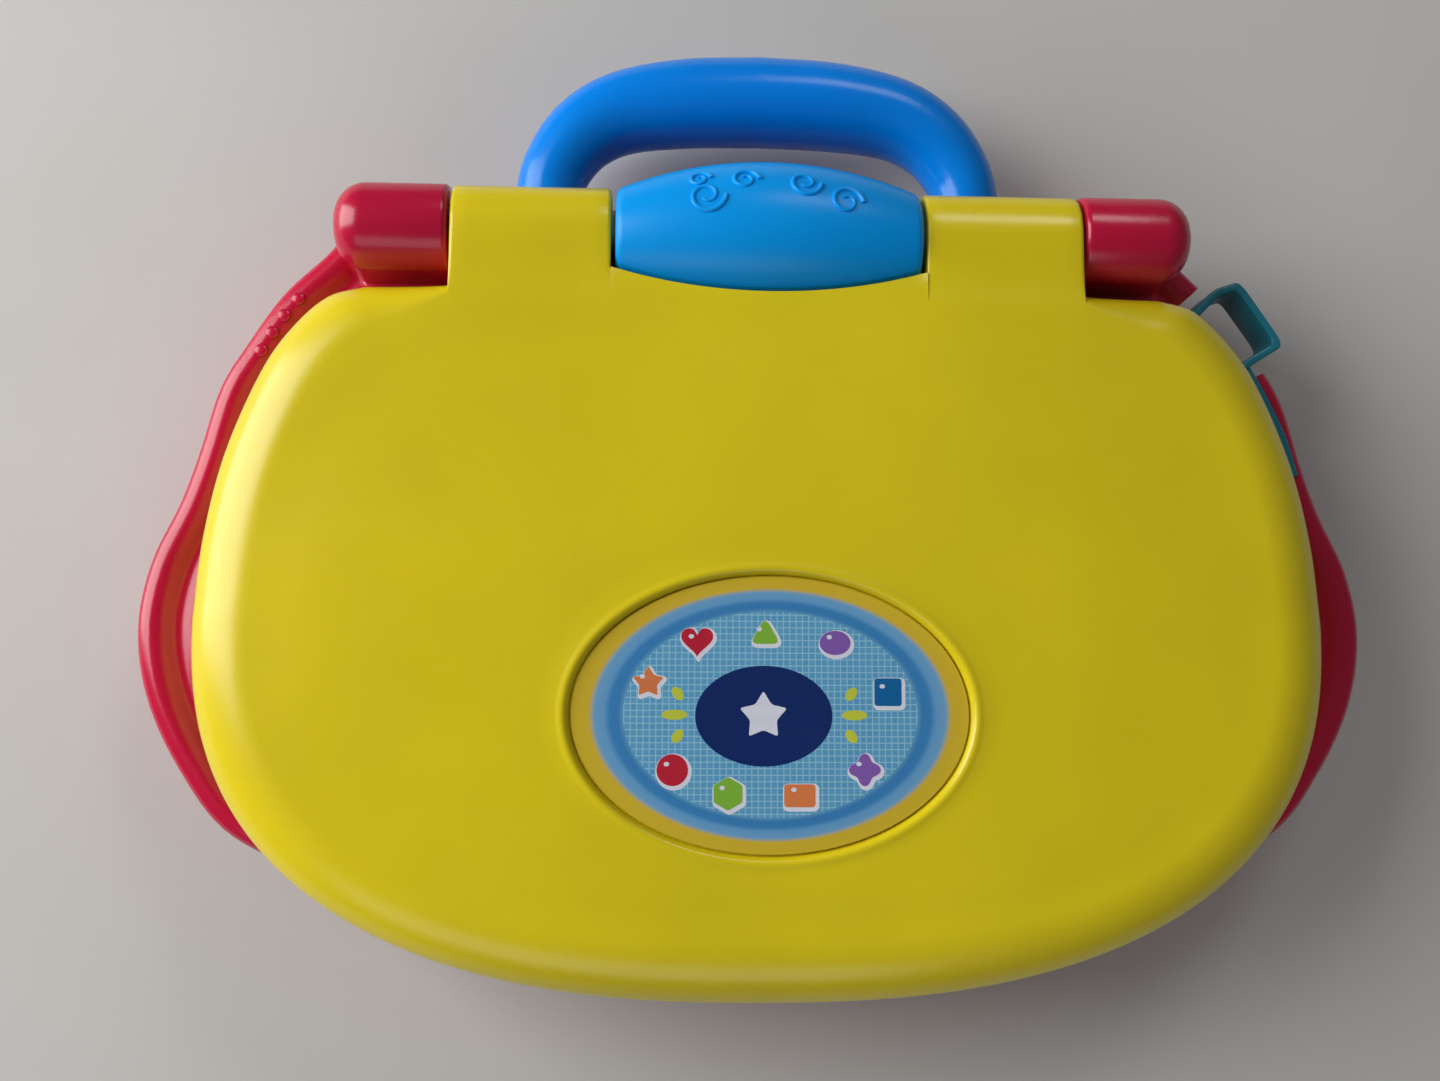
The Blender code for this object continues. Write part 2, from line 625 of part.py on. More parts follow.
# Hinge --------------------------------------------------------------------------------
def make_drum():
    """The hollow drum in the middle of the hinge, open below for the wires to the lid."""
    drum = turned("hinge_drum", drum_profile(), SKY_BLUE, at=HINGE, steps=24, along_x=True)
    hollow = turned("drum_hollow", drum_profile(-2.4, DRUM_HALF_LENGTH - 8.0, 4), at=HINGE,
                    steps=12, along_x=True)
    way = boxes("drum_cable_way", [((-18.0, HINGE_Y - 6.0, HINGE_Z - 25.0),
                                    (18.0, HINGE_Y + 6.0, HINGE_Z - 5.0))])
    bores = [((side * (DRUM_HALF_LENGTH - 12.0), HINGE_Y, HINGE_Z),
              (side * (DRUM_HALF_LENGTH + 5.0), HINGE_Y, HINGE_Z), SLEEVE_RADIUS + GAP)
             for side in (-1, 1)]
    cut(drum, hollow, way, rods("sleeve_bores", bores))


def make_hinge_metal():
    """A steel pin in each knuckle and a hollow bearing sleeve at each end of the drum."""
    for side, word in ((-1, "left"), (1, "right")):
        rods("hinge_pin_" + word, [((side * PIN_START_X, 0.0, 0.0), (side * PIN_END_X, 0.0, 0.0),
                                    PIN_RADIUS)], STEEL, at=HINGE, steps=16)
        sleeve = rods("hinge_sleeve_" + word, [((side * SLEEVE_START_X, 0.0, 0.0),
                                                (side * SLEEVE_END_X, 0.0, 0.0),
                                                SLEEVE_RADIUS)], WHITE, at=HINGE)
        cut(sleeve, rods("sleeve_hole_" + word, [((side * (SLEEVE_START_X - 3.0), 0.0, 0.0),
                                                  (side * (SLEEVE_END_X + 3.0), 0.0, 0.0),
                                                  SLEEVE_BORE)], at=HINGE))


# Carry handle -------------------------------------------------------------------------
def make_handle():
    """The thick bowed tube, clamped by a flange at each root between the two shells."""
    root_y = BASE_REAR_Y - 5.8
    half = [(HANDLE_ROOT_X, root_y, HANDLE_ROOT_RADIUS), (HANDLE_ROOT_X, 79.0, HANDLE_ROOT_RADIUS),
            (51.0, 88.0, 8.9), (44.5, 96.5, 9.7), (34.5, 102.0, 10.5), (19.0, 104.7, 11.2),
            (0.0, HANDLE_REACH_Y, HANDLE_GRIP_RADIUS)]
    line = smooth_line(half, 2)
    whole = line + [Vector((-p.x, p.y, p.z)) for p in reversed(line[:-1])]
    curve = bpy.data.curves.new("handle_line", "CURVE")
    curve.dimensions = "3D"
    curve.bevel_depth = MM
    curve.bevel_resolution = 4
    curve.use_fill_caps = True
    spline = curve.splines.new("POLY")
    spline.points.add(len(whole) - 1)
    for point, (x, y, radius) in zip(spline.points, whole):
        point.co = (x * MM, y * MM, HANDLE_Z * MM, 1.0)
        point.radius = radius
    guide = bpy.data.objects.new("handle_line", curve)
    CUTTERS.objects.link(guide)
    mesh = mesh_of(guide)
    mesh.shade_smooth()
    mesh.set_sharp_from_angle(angle=math.radians(35.0))
    handle = add_object("carry_handle", mesh, HANDLE_BLUE)
    join(handle, rear_rods("handle_flanges", FLANGE_RADIUS, root_y - 0.4,
                           root_y - 0.4 + FLANGE_THICKNESS))


# Loop on the corner -------------------------------------------------------------------
def strip_outline(extra=0.0):
    """The thin strip that runs forward from the loop along the rim."""
    line = smooth_line(STRIP_POINTS, 2)
    half = STRIP_WIDTH / 2 + extra
    outer = []
    inner = []
    for index, point in enumerate(line):
        ahead = line[min(index + 1, len(line) - 1)] - line[max(index - 1, 0)]
        normal = Vector((-ahead.y, ahead.x)).normalized()
        reach = ahead.normalized() * extra
        shift = -reach if index == 0 else reach if index == len(line) - 1 else Vector((0.0, 0.0))
        outer.append(point + normal * half + shift)
        inner.append(point - normal * half + shift)
    return outer + inner[::-1]


def make_corner_loop():
    """The teal loop that a mouse hangs in: a square ring with a strip set in the rim."""
    back = LOOP_WALL_DISTANCE + GAP
    rear_root = loop_point(LOOP_REAR_ROOT, back)
    front_root = loop_point(LOOP_FRONT_ROOT, back)
    outline = [rear_root, *(Vector(p) for p in LOOP_CORNERS), front_root]
    loop = prism("corner_loop", outline, LOOP_LOW_Z, LOOP_HIGH_Z, TEAL)
    opening = prism("loop_opening", offset_polygon(outline, LOOP_THICKNESS),
                    LOOP_LOW_Z - 5.0, LOOP_HIGH_Z + 5.0)
    strip = prism("loop_strip", strip_outline(), STRIP_LOW_Z, STRIP_HIGH_Z)
    cut(loop, opening)
    join(loop, strip)


def offset_polygon(outline, distance):
    """A convex polygon with every side moved in, whichever way round it runs."""
    area = sum(a.x * b.y - b.x * a.y for a, b in zip(outline, outline[1:] + outline[:1]))
    turn = 1.0 if area > 0.0 else -1.0
    count = len(outline)
    moved = []
    for index, point in enumerate(outline):
        ahead = (outline[(index + 1) % count] - point).normalized()
        behind = (point - outline[index - 1]).normalized()
        normal_a = Vector((-ahead.y, ahead.x)) * turn
        normal_b = Vector((-behind.y, behind.x)) * turn
        normal = (normal_a + normal_b).normalized()
        moved.append(point + normal * (distance / normal.dot(normal_a)))
    return moved


# Keys ---------------------------------------------------------------------------------
def star(radius):
    return [Vector((math.sin(math.radians(36.0 * i)), math.cos(math.radians(36.0 * i))))
            * (radius * 1.04 if i % 2 == 0 else radius * 0.58) for i in range(10)]


def heart(radius):
    points = []
    for degrees in (0, *range(36, 325, 18)):
        t = math.radians(degrees)
        x = 16.0 * math.sin(t) ** 3
        y = 13.0 * math.cos(t) - 5.0 * math.cos(2 * t) - 2.0 * math.cos(3 * t) - math.cos(4 * t)
        points.append(Vector((x, y + 2.0)) * (radius / 15.5))
    return points


def polygon(radius, sides, start=90.0, corner=0.28):
    """A regular polygon with cut-round corners."""
    points = []
    tips = [Vector((math.cos(math.radians(start + 360.0 * i / sides)),
                    math.sin(math.radians(start + 360.0 * i / sides)))) * radius
            for i in range(sides)]
    for index, tip in enumerate(tips):
        before = tips[index - 1]
        after = tips[(index + 1) % sides]
        near = tip.lerp(before, corner)
        far = tip.lerp(after, corner)
        for step in range(3):
            t = step / 2
            points.append((1 - t) ** 2 * near + 2 * t * (1 - t) * tip + t ** 2 * far)
    return points


def clover(radius):
    points = []
    for i in range(20):
        angle = 2.0 * math.pi * i / 20
        reach = radius * (0.86 + 0.17 * math.cos(4.0 * angle))
        points.append(Vector((reach * math.cos(angle), reach * math.sin(angle))))
    return points


def key_shapes():
    """Name, outline, material and place of each key, rear row first."""
    r = KEY_RADIUS
    rear = (("star", star(r), ORANGE), ("heart", heart(r), RED),
            ("triangle", polygon(r * 1.15, 3), GREEN), ("oval", ellipse(r, r * 0.78), PURPLE),
            ("square", polygon(r * 1.25, 4, 45.0, 0.12), HANDLE_BLUE))
    front = (("clover", clover(r), PURPLE),
             ("rectangle", rounded_box(-r, -r * 0.72, r, r * 0.72, 2.5), ORANGE),
             ("hexagon", polygon(r * 1.06, 6, 90.0, 0.12), GREEN),
             ("circle", ellipse(r, r), RED))
    keys = []
    for row, y in ((rear, KEY_REAR_ROW_Y), (front, KEY_FRONT_ROW_Y)):
        for index, (name, outline, material) in enumerate(row):
            x = (index - (len(row) - 1) / 2) * KEY_PITCH
            keys.append((name, outline, material, (x, y)))
    return keys


def grow(outline, distance):
    """The outline of a key moved out by a distance, or in if it is negative."""
    area = sum(a.x * b.y - b.x * a.y for a, b in zip(outline, outline[1:] + outline[:1]))
    turn = -1.0 if area > 0.0 else 1.0
    count = len(outline)
    moved = []
    for index, point in enumerate(outline):
        ahead = outline[(index + 1) % count] - point
        behind = point - outline[index - 1]
        normal_a = Vector((-ahead.y, ahead.x)).normalized() * turn
        normal_b = Vector((-behind.y, behind.x)).normalized() * turn
        normal = (normal_a + normal_b).normalized()
        moved.append(point + normal * (distance / max(normal.dot(normal_a), 0.75)))
    return moved


def make_keys():
    """Nine keys, each with a flange under the panel, and the panel with their holes."""
    panel_z = DECK_Z + GAP
    panel = prism("key_panel", rounded_box(-PANEL_HALF_WIDTH, PANEL_FRONT_Y, PANEL_HALF_WIDTH,
                                           PANEL_REAR_Y, 12.0),
                  panel_z, panel_z + PANEL_THICKNESS, SKY_BLUE)
    for name, outline, material, (x, y) in key_shapes():
        flange_top = KEY_FLANGE_Z + KEY_FLANGE_THICKNESS
        wide = grow(outline, KEY_FLANGE)
        loft("key_" + name, [at_height(wide, KEY_FLANGE_Z), at_height(wide, flange_top),
                             at_height(outline, flange_top), at_height(outline, KEY_TOP_Z)],
             material, (x, y, 0.0))
        cut(panel, prism("hole_" + name, grow(outline, SLIDE_GAP), panel_z - 3.0,
                         panel_z + PANEL_THICKNESS + 3.0, at=(x, y)))


# Electronics in the base --------------------------------------------------------------
def make_base_electronics():
    """Main board, key membrane, speaker and the two slide switches with their knobs."""
    board_top = BOARD_Z + BOARD_THICKNESS
    edge = PANEL_HALF_WIDTH - PANEL_LEDGE - 1.0
    speaker_side = SPEAKER_X + SPEAKER_RADIUS + 4.0
    prism("main_board", [(-edge, PANEL_FRONT_Y), (edge, PANEL_FRONT_Y), (edge, SWITCH_Y + 12.0),
                         (speaker_side, SWITCH_Y + 12.0),
                         (speaker_side, SPEAKER_Y - SPEAKER_RADIUS - 4.0),
                         (-edge, SPEAKER_Y - SPEAKER_RADIUS - 4.0)],
          BOARD_Z, board_top, BOARD)
    prism("key_membrane", rounded_box(-edge + 1.0, PANEL_FRONT_Y + 2.0, edge - 1.0,
                                      PANEL_REAR_Y - 1.0, 4.0),
          board_top + GAP, board_top + GAP + MEMBRANE_THICKNESS, SILICONE)
    top = DECK_Z - 2.4 - GAP
    turned("speaker", [(0.0, top - 0.8), (4.0, top - 1.6), (11.5, top - 0.6), (12.5, top),
                       (SPEAKER_RADIUS, top), (SPEAKER_RADIUS, top - 1.4), (9.0, top - 4.6),
                       (8.0, top - 4.8), (8.0, top - 8.0), (0.0, top - 8.0)],
           STEEL, at=(SPEAKER_X, SPEAKER_Y, 0.0), steps=28)
    for word, x, length in (("mode", 0.0, 24.0), ("power", POWER_SWITCH_X, 16.0)):
        body = boxes(word + "_switch", [((-length / 2, -4.0, 0.0),
                                         (length / 2, 4.0, DECK_Z - 2.4 - 0.8 - board_top))],
                     STEEL, at=(x, SWITCH_Y, board_top + GAP))
        soften(body, 0.4, 1)
        knob_low = DECK_Z + GAP
        knob = boxes(word + "_knob", [((-7.5, -5.0, knob_low), (7.5, 5.0, knob_low + KNOB_HEIGHT))],
                     ORANGE if word == "power" else GREEN, at=(x, SWITCH_Y, 0.0))
        soften(knob, 1.2)
        stem = boxes(word + "_stem", [((-3.0, -1.7, DECK_Z - 2.4), (3.0, 1.7, knob_low + 1.5))],
                     at=(x, SWITCH_Y, 0.0))
        join(knob, stem)


# Batteries ----------------------------------------------------------------------------
def make_batteries():
    """Two AA cells side by side, their contact plates, and the screwed cover below them."""
    cell_z = FLOOR_Z + COVER_THICKNESS + CELL_RADIUS + 0.8
    spacing = CELL_RADIUS + 0.35
    half = CELL_LENGTH / 2
    for number, side in ((1, -1), (2, 1)):
        cell = turned("battery_%d" % number,
                      [(0.0, half), (2.7, half), (2.7, half - 1.2), (6.3, half - 1.2),
                       (CELL_RADIUS, half - 1.9), (CELL_RADIUS, -half + 0.4),
                       (CELL_RADIUS - 0.5, -half), (0.0, -half)],
                      CELL, at=(0.0, BAY_Y + side * spacing, cell_z), along_x=True)
        if side < 0:
            cell.rotation_euler = (0.0, math.radians(-90.0), 0.0)
    near = half + 1.2
    far = BAY_HALF_LENGTH - GAP
    boxes("battery_link", [((-far, BAY_Y - 12.0, cell_z - 5.0), (-far + 0.6, BAY_Y + 12.0,
                                                                  cell_z + 5.0))], STEEL)
    for word, side in (("plus", 1), ("minus", -1)):
        y = BAY_Y + side * spacing
        plate = boxes("battery_contact_" + word, [((far - 0.6, y - 5.0, cell_z - 5.0),
                                                   (far, y + 5.0, cell_z + 5.0))], STEEL)
        bump = rods("contact_bump_" + word, [((near, y, cell_z), (far - 0.3, y, cell_z), 2.5)],
                    steps=12)
        join(plate, bump)
    bay_depth = 2 * (2 * CELL_RADIUS + 0.9)
    cover_end = COVER_SCREW_X + 5.0
    cover = prism("battery_cover", rounded_box(-BAY_HALF_LENGTH - 3.0, BAY_Y - bay_depth / 2 - 3.0,
                                               cover_end, BAY_Y + bay_depth / 2 + 3.0, 3.0),
                  FLOOR_Z, FLOOR_Z + COVER_THICKNESS, RED)
    cut(cover, rods("cover_screw_hole",
                    [((COVER_SCREW_X, BAY_Y, -1.0),
                      (COVER_SCREW_X, BAY_Y, FLOOR_Z + 3.0), SCREW_SHANK + GAP)]))
    cut(cover, rods("cover_head_hole",
                    [((COVER_SCREW_X, BAY_Y, -1.0),
                      (COVER_SCREW_X, BAY_Y, FLOOR_Z + 1.2), SCREW_HEAD + GAP)]))
    screw("battery_screw", (COVER_SCREW_X, BAY_Y), FLOOR_Z - 0.1, 1.0, 9.0)


# Screws and feet ----------------------------------------------------------------------
def screw(name, place, low_z, head_height, tip_z):
    """A pan-head screw that points up, with a slim tip."""
    turned(name, [(0.0, tip_z), (SCREW_SHANK, tip_z - 1.6), (SCREW_SHANK, low_z + head_height),
                  (SCREW_HEAD, low_z + head_height), (SCREW_HEAD, low_z), (0.0, low_z)],
           STEEL, at=(*place, 0.0), steps=8)


def corner_word(x, y):
    """Front or rear, and left or right, for a piece's name."""
    return ("front_" if y < -20.0 else "rear_") + ("left" if x < 0.0 else "right")


def make_fasteners_and_feet():
    for x, y in BASE_SCREW_POSITIONS:
        screw("base_screw_" + corner_word(x, y), (x, y), 3.8, SCREW_HEAD_HEIGHT, 19.0)
    for x, y in LID_SCREW_POSITIONS:
        screw("lid_screw_" + corner_word(x, y), (x, y), BEZEL_Z + 0.1, SCREW_HEAD_HEIGHT - 0.2, 48.0)
    for x, y in FOOT_POSITIONS:
        rods("foot_" + corner_word(x, y), [((0.0, 0.0, 0.0), (0.0, 0.0, FLOOR_Z + 0.6),
                                            FOOT_RADIUS)], BLACK, at=(x, y, 0.0), steps=16)


# Lid ----------------------------------------------------------------------------------
def lid_rings():
    """Levels of the lid's outside, from its rim over the rounded edge to the crown."""
    rings = [at_height(inset(LID, 0.8), LID_RIM_Z), at_height(LID, LID_RIM_Z + 4.5),
             at_height(LID, LID_EDGE_Z)]
    for angle in (25.0, 50.0, 72.0, 90.0):
        run = LID_EDGE_RUN * (1.0 - math.cos(math.radians(angle)))
        rise = LID_EDGE_RISE * math.sin(math.radians(angle))
        rings.append(at_height(inset(LID, run), LID_EDGE_Z + rise))
    return rings + crown_rings(0.0, (0.75, 0.45, 0.2))


def crown_rings(wall, shares):
    """Rings of the nearly flat top, shrinking to the middle as it rises."""
    middle = Vector((0.0, LID_WIDEST_Y))
    edge = inset(LID, LID_EDGE_RUN + wall)
    rings = []
    for share in shares:
        z = LID_EDGE_Z + LID_EDGE_RISE - wall + LID_CROWN * (1.0 - share ** 2)
        rings.append(at_height([middle + (p - middle) * share for p in edge], z))
    return rings


def lid_inner_rings():
    """Levels of the lid's hollow, from its rim up to the underside of the crown."""
    rings = [at_height(inset(LID, LID_WALL), LID_RIM_Z), at_height(inset(LID, LID_WALL), LID_EDGE_Z)]
    for angle in (45.0, 90.0):
        run = LID_EDGE_RUN * (1.0 - math.cos(math.radians(angle))) + LID_WALL
        rise = LID_EDGE_RISE * math.sin(math.radians(angle)) - LID_WALL * angle / 90.0
        rings.append(at_height(inset(LID, run), LID_EDGE_Z + rise))
    rings += crown_rings(LID_WALL, (0.6, 0.25))
    return [[(x, min(y, LID_CAVITY_REAR_Y), z) for x, y, z in ring] for ring in rings]


def make_lid_cover():
    """The yellow lid with its two hinge barrels and the recess for the emblem."""
    lid = loft("lid_cover", lid_inner_rings()[::-1] + lid_rings(), YELLOW)
    barrels = []
    webs = []
    bores = []
    for side in (-1, 1):
        barrels.append(((side * (BARREL_START_X - 3.0), HINGE_Y, HINGE_Z),
                        (side * BARREL_END_X, HINGE_Y, HINGE_Z), BARREL_RADIUS))
        web_ends = sorted((side * (BARREL_START_X - 2.0), side * (BARREL_END_X - 0.4)))
        webs.append(((web_ends[0], LID_CAVITY_REAR_Y + 1.0, HINGE_Z - 7.0),
                     (web_ends[1], HINGE_Y, HINGE_Z + BARREL_RADIUS - 1.8)))
        bores.append(((side * (BARREL_START_X - 5.0), HINGE_Y, HINGE_Z),
                      (side * (SLEEVE_END_X + 1.0), HINGE_Y, HINGE_Z), SLEEVE_RADIUS + 0.4))
    join(lid, boxes("barrel_webs", webs), rods("lid_barrels", barrels, steps=20))
    pad = prism("emblem_pad", ellipse(EMBLEM_HALF_WIDTH + 4.0, EMBLEM_HALF_DEPTH + 4.0, 20,
                                      (0.0, EMBLEM_Y)), EMBLEM_FLOOR_Z - 2.6, EMBLEM_FLOOR_Z + 0.4)
    bosses = [((x, y, BEZEL_Z + BEZEL_THICKNESS + GAP),
               (x, y, LID_EDGE_Z + LID_EDGE_RISE - 1.2), 4.0) for x, y in LID_SCREW_POSITIONS]
    join(lid, pad, rods("lid_bosses", bosses))
    recess = prism("emblem_recess", ellipse(EMBLEM_HALF_WIDTH, EMBLEM_HALF_DEPTH, 32,
                                            (0.0, EMBLEM_Y)), EMBLEM_FLOOR_Z, EMBLEM_FLOOR_Z + 8.0)
    notch = turned("drum_notch", drum_profile(DRUM_CLEARANCE, BARREL_START_X), at=HINGE,
                   steps=24, along_x=True)
    pin_bores = [((side * (SLEEVE_END_X - 2.0), HINGE_Y, HINGE_Z),
                  (side * (BARREL_END_X + 5.0), HINGE_Y, HINGE_Z), PIN_RADIUS + 0.4)
                 for side in (-1, 1)]
    pilots = [((x, y, BEZEL_Z), (x, y, 50.0), SCREW_SHANK + 0.15) for x, y in LID_SCREW_POSITIONS]
    cut(lid, rods("lid_pilots", pilots), recess, notch, rods("barrel_pin_bores", pin_bores),
        rods("barrel_bores", bores, steps=16))


def make_lid_inside():
    """The bezel that closes the lid, the lit picture behind it, and the label outside."""
    edge = [Vector((p.x, min(p.y, LID_CAVITY_REAR_Y - GAP))) for p in inset(LID, LID_WALL + GAP)]
    bezel = prism("lid_bezel", edge, BEZEL_Z, BEZEL_Z + BEZEL_THICKNESS, SKY_BLUE)
    window = prism("screen_hole", screen_outline(0.0), BEZEL_Z - 3.0, BEZEL_Z + 6.0)
    heads = [((x, y, BEZEL_Z - 2.0), (x, y, BEZEL_Z + SCREW_HEAD_HEIGHT + 0.2), SCREW_HEAD + GAP)
             for x, y in LID_SCREW_POSITIONS]
    shanks = [((x, y, BEZEL_Z - 3.0), (x, y, BEZEL_Z + 5.0), SCREW_SHANK + GAP)
              for x, y in LID_SCREW_POSITIONS]
    cut(bezel, window, rods("bezel_heads", heads), rods("bezel_shanks", shanks))
    low = BEZEL_Z + BEZEL_THICKNESS + GAP
    layers = (("screen_window", SCREEN_MARGIN, 1.8, CLEAR),
              ("screen_picture", SCREEN_MARGIN, 0.6, PRINT),
              ("light_diffuser", SCREEN_MARGIN + 2.0, 3.0, WHITE),
              ("light_board", SCREEN_MARGIN, 1.6, BOARD))
    for name, margin, thickness, material in layers:
        prism(name, screen_outline(margin), low, low + thickness, material)
        low += thickness + GAP
    prism("emblem_label", ellipse(EMBLEM_HALF_WIDTH - GAP, EMBLEM_HALF_DEPTH - GAP, 32,
                                  (0.0, EMBLEM_Y)),
          EMBLEM_FLOOR_Z + GAP, EMBLEM_FLOOR_Z + GAP + LABEL_THICKNESS, PRINT)


def screen_outline(margin):
    """The screen's rounded rectangle, grown by a margin."""
    half_width = SCREEN_WIDTH / 2 + margin
    half_depth = SCREEN_DEPTH / 2 + margin
    return rounded_box(-half_width, SCREEN_Y - half_depth, half_width, SCREEN_Y + half_depth,
                       SCREEN_CORNER)


def hang_on_hinge():
    """Give every lid piece a parent empty that stands on the hinge axis."""
    hinge = bpy.data.objects.new("lid_hinge_axis", None)
    hinge.location = Vector(HINGE) * MM
    PARTS.objects.link(hinge)
    bpy.context.view_layer.update()
    lid_names = ("lid_", "screen_", "light_", "emblem_")
    for piece in list(PARTS.objects):
        if piece.type == "MESH" and piece.name.startswith(lid_names):
            piece.parent = hinge
            piece.matrix_parent_inverse = hinge.matrix_world.inverted()


make_bottom_shell()
make_top_shell()
make_drum()
make_hinge_metal()
make_handle()
make_corner_loop()
make_keys()
make_base_electronics()
make_batteries()
make_fasteners_and_feet()
make_lid_cover()
make_lid_inside()
hang_on_hinge()
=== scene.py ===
import json
import math

import bmesh
import bpy
from mathutils import Matrix, Vector


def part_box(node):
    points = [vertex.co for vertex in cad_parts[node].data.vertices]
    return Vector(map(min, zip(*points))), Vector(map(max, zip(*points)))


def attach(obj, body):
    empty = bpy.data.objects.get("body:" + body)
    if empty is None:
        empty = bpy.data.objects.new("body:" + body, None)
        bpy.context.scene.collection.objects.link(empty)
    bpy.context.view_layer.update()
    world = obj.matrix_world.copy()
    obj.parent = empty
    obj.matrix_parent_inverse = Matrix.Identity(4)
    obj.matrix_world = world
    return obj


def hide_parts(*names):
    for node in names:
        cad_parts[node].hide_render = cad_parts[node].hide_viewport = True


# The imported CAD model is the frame. Sizes below are in millimetres in that frame: X runs to
# the right, Y from the front edge to the carry handle, and Z up from the rubber feet.
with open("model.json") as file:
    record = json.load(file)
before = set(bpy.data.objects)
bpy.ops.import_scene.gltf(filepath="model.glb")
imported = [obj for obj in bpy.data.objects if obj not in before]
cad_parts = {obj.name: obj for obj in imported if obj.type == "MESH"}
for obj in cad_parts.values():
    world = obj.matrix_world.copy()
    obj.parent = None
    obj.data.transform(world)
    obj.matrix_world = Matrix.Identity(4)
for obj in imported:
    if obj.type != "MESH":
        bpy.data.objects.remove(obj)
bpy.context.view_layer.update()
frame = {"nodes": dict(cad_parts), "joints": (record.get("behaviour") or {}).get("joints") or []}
MM = 0.001
hinge_joint = next(joint for joint in frame["joints"] if joint["name"] == "lid_hinge")
HINGE_Y = hinge_joint["pos_m"][1] / MM
HINGE_Z = hinge_joint["pos_m"][2] / MM


# Bottom shell -------------------------------------------------------------------------
# The red tub under the toy, moulded in ABS about two millimetres thick. Four screws from
# below hold it to the deck, and the battery bay opens in the middle of its floor.
BASE_HALF_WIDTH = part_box("base_bottom_shell")[1].x / MM
BASE_REAR_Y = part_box("base_bottom_shell")[1].y / MM
LID_HALF_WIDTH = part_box("lid_cover")[1].x / MM
LID_WIDEST_Y = -31.0
LID_FRONT_DEPTH = LID_WIDEST_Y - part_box("lid_cover")[0].y / MM
FRONT_POWER = 2.45
SHELL_WALL = 2.2
SHELL_FLOOR_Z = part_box("base_bottom_shell")[0].z / MM
PARTING_Z = 17.0
SEAM = 0.3
BAY_Y = -30.0
BAY_HALF_LENGTH = 30.0
BAY_HALF_DEPTH = 15.1
COVER_END_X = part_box("battery_cover")[1].x / MM
COVER_SCREW_X = 38.0
BAY_WALL = 1.6
BOTTOM_EDGE_RUN = 13.0
BOTTOM_EDGE_RISE = 10.0
BASE_SCREWS = ((-106.0, -60.0), (106.0, -60.0), (-112.0, 0.0), (112.0, 0.0))
FOOT_PLACES = ((-88.0, -76.0), (88.0, -76.0), (-96.0, 36.0), (96.0, 36.0))
HANDLE_ROOT_X = 53.5
HANDLE_Z = 22.5
HANDLE_HOLE_RADIUS = 8.8
RED = (0.52, 0.004, 0.042)


def feed(made, values=(), **wires):
    """Set a node's inputs by name, and wire other nodes' outputs to them."""
    for word, value in dict(values).items():
        made.inputs[word].default_value = value
    for word, source in wires.items():
        made.id_data.links.new(source, made.inputs[word.replace("_", " ")])
    return made


def add_node(tree, kind, values=(), **wires):
    """A new node in a tree, with its inputs set and wired."""
    return feed(tree.nodes.new(kind), values, **wires)


def moulded_plastic(name, colour, roughness=0.26, grain=0.05, glow=0.0, shine=0.5):
    """Glossy moulded plastic: slow colour drift, fine mould grain, hairlines, rubbed edges."""
    material = bpy.data.materials.new(name)
    material.use_nodes = True
    tree = material.node_tree
    place = add_node(tree, "ShaderNodeTexCoord").outputs["Object"]

    drift = add_node(tree, "ShaderNodeTexNoise", {"Scale": 14.0, "Detail": 3.0}, Vector=place)
    shade = add_node(tree, "ShaderNodeValToRGB", Fac=drift.outputs["Fac"])
    for stop, position, gain in zip(shade.color_ramp.elements, (0.3, 0.7), (0.9, 1.06)):
        stop.position = position
        stop.color = (*(min(1.0, gain * part) for part in colour), 1.0)
    edge = add_node(tree, "ShaderNodeNewGeometry")
    worn = add_node(tree, "ShaderNodeMapRange",
                    {"From Min": 0.53, "From Max": 0.62, "To Max": 0.22},
                    Value=edge.outputs["Pointiness"])
    rub = tree.nodes.new("ShaderNodeMix")
    rub.data_type = "RGBA"
    feed(rub, {"B": (*(min(1.0, part * 1.3 + 0.015) for part in colour), 1.0)},
         Factor=worn.outputs["Result"], A=shade.outputs["Color"])

    stretch = add_node(tree, "ShaderNodeMapping", {"Rotation": (0.0, 0.0, math.radians(24.0)),
                                                   "Scale": (30.0, 1300.0, 60.0)}, Vector=place)
    hairline = add_node(tree, "ShaderNodeTexNoise", {"Detail": 2.0},
                        Vector=stretch.outputs["Vector"])
    scuff = add_node(tree, "ShaderNodeMapRange",
                     {"From Min": 0.66, "From Max": 0.74, "To Max": 0.14},
                     Value=hairline.outputs["Fac"])
    patch = add_node(tree, "ShaderNodeTexNoise", {"Scale": 38.0, "Detail": 4.0}, Vector=place)
    sheen = add_node(tree, "ShaderNodeMapRange",
                     {"To Min": roughness - 0.07, "To Max": roughness + 0.09},
                     Value=patch.outputs["Fac"])
    gloss = tree.nodes.new("ShaderNodeMath")
    gloss.operation = "ADD"
    tree.links.new(sheen.outputs["Result"], gloss.inputs[0])
    tree.links.new(scuff.outputs["Result"], gloss.inputs[1])

    texture = add_node(tree, "ShaderNodeTexNoise", {"Scale": 900.0, "Detail": 2.0}, Vector=place)
    relief = add_node(tree, "ShaderNodeBump", {"Strength": grain, "Distance": 0.0004},
                      Height=texture.outputs["Fac"])
    feed(tree.nodes["Principled BSDF"],
         {"Specular IOR Level": shine, "Subsurface Weight": glow,
          "Subsurface Radius": (0.004, 0.003, 0.001), "Subsurface Scale": 0.4},
         Base_Color=rub.outputs["Result"], Roughness=gloss.outputs["Value"],
         Normal=relief.outputs["Normal"])
    return material


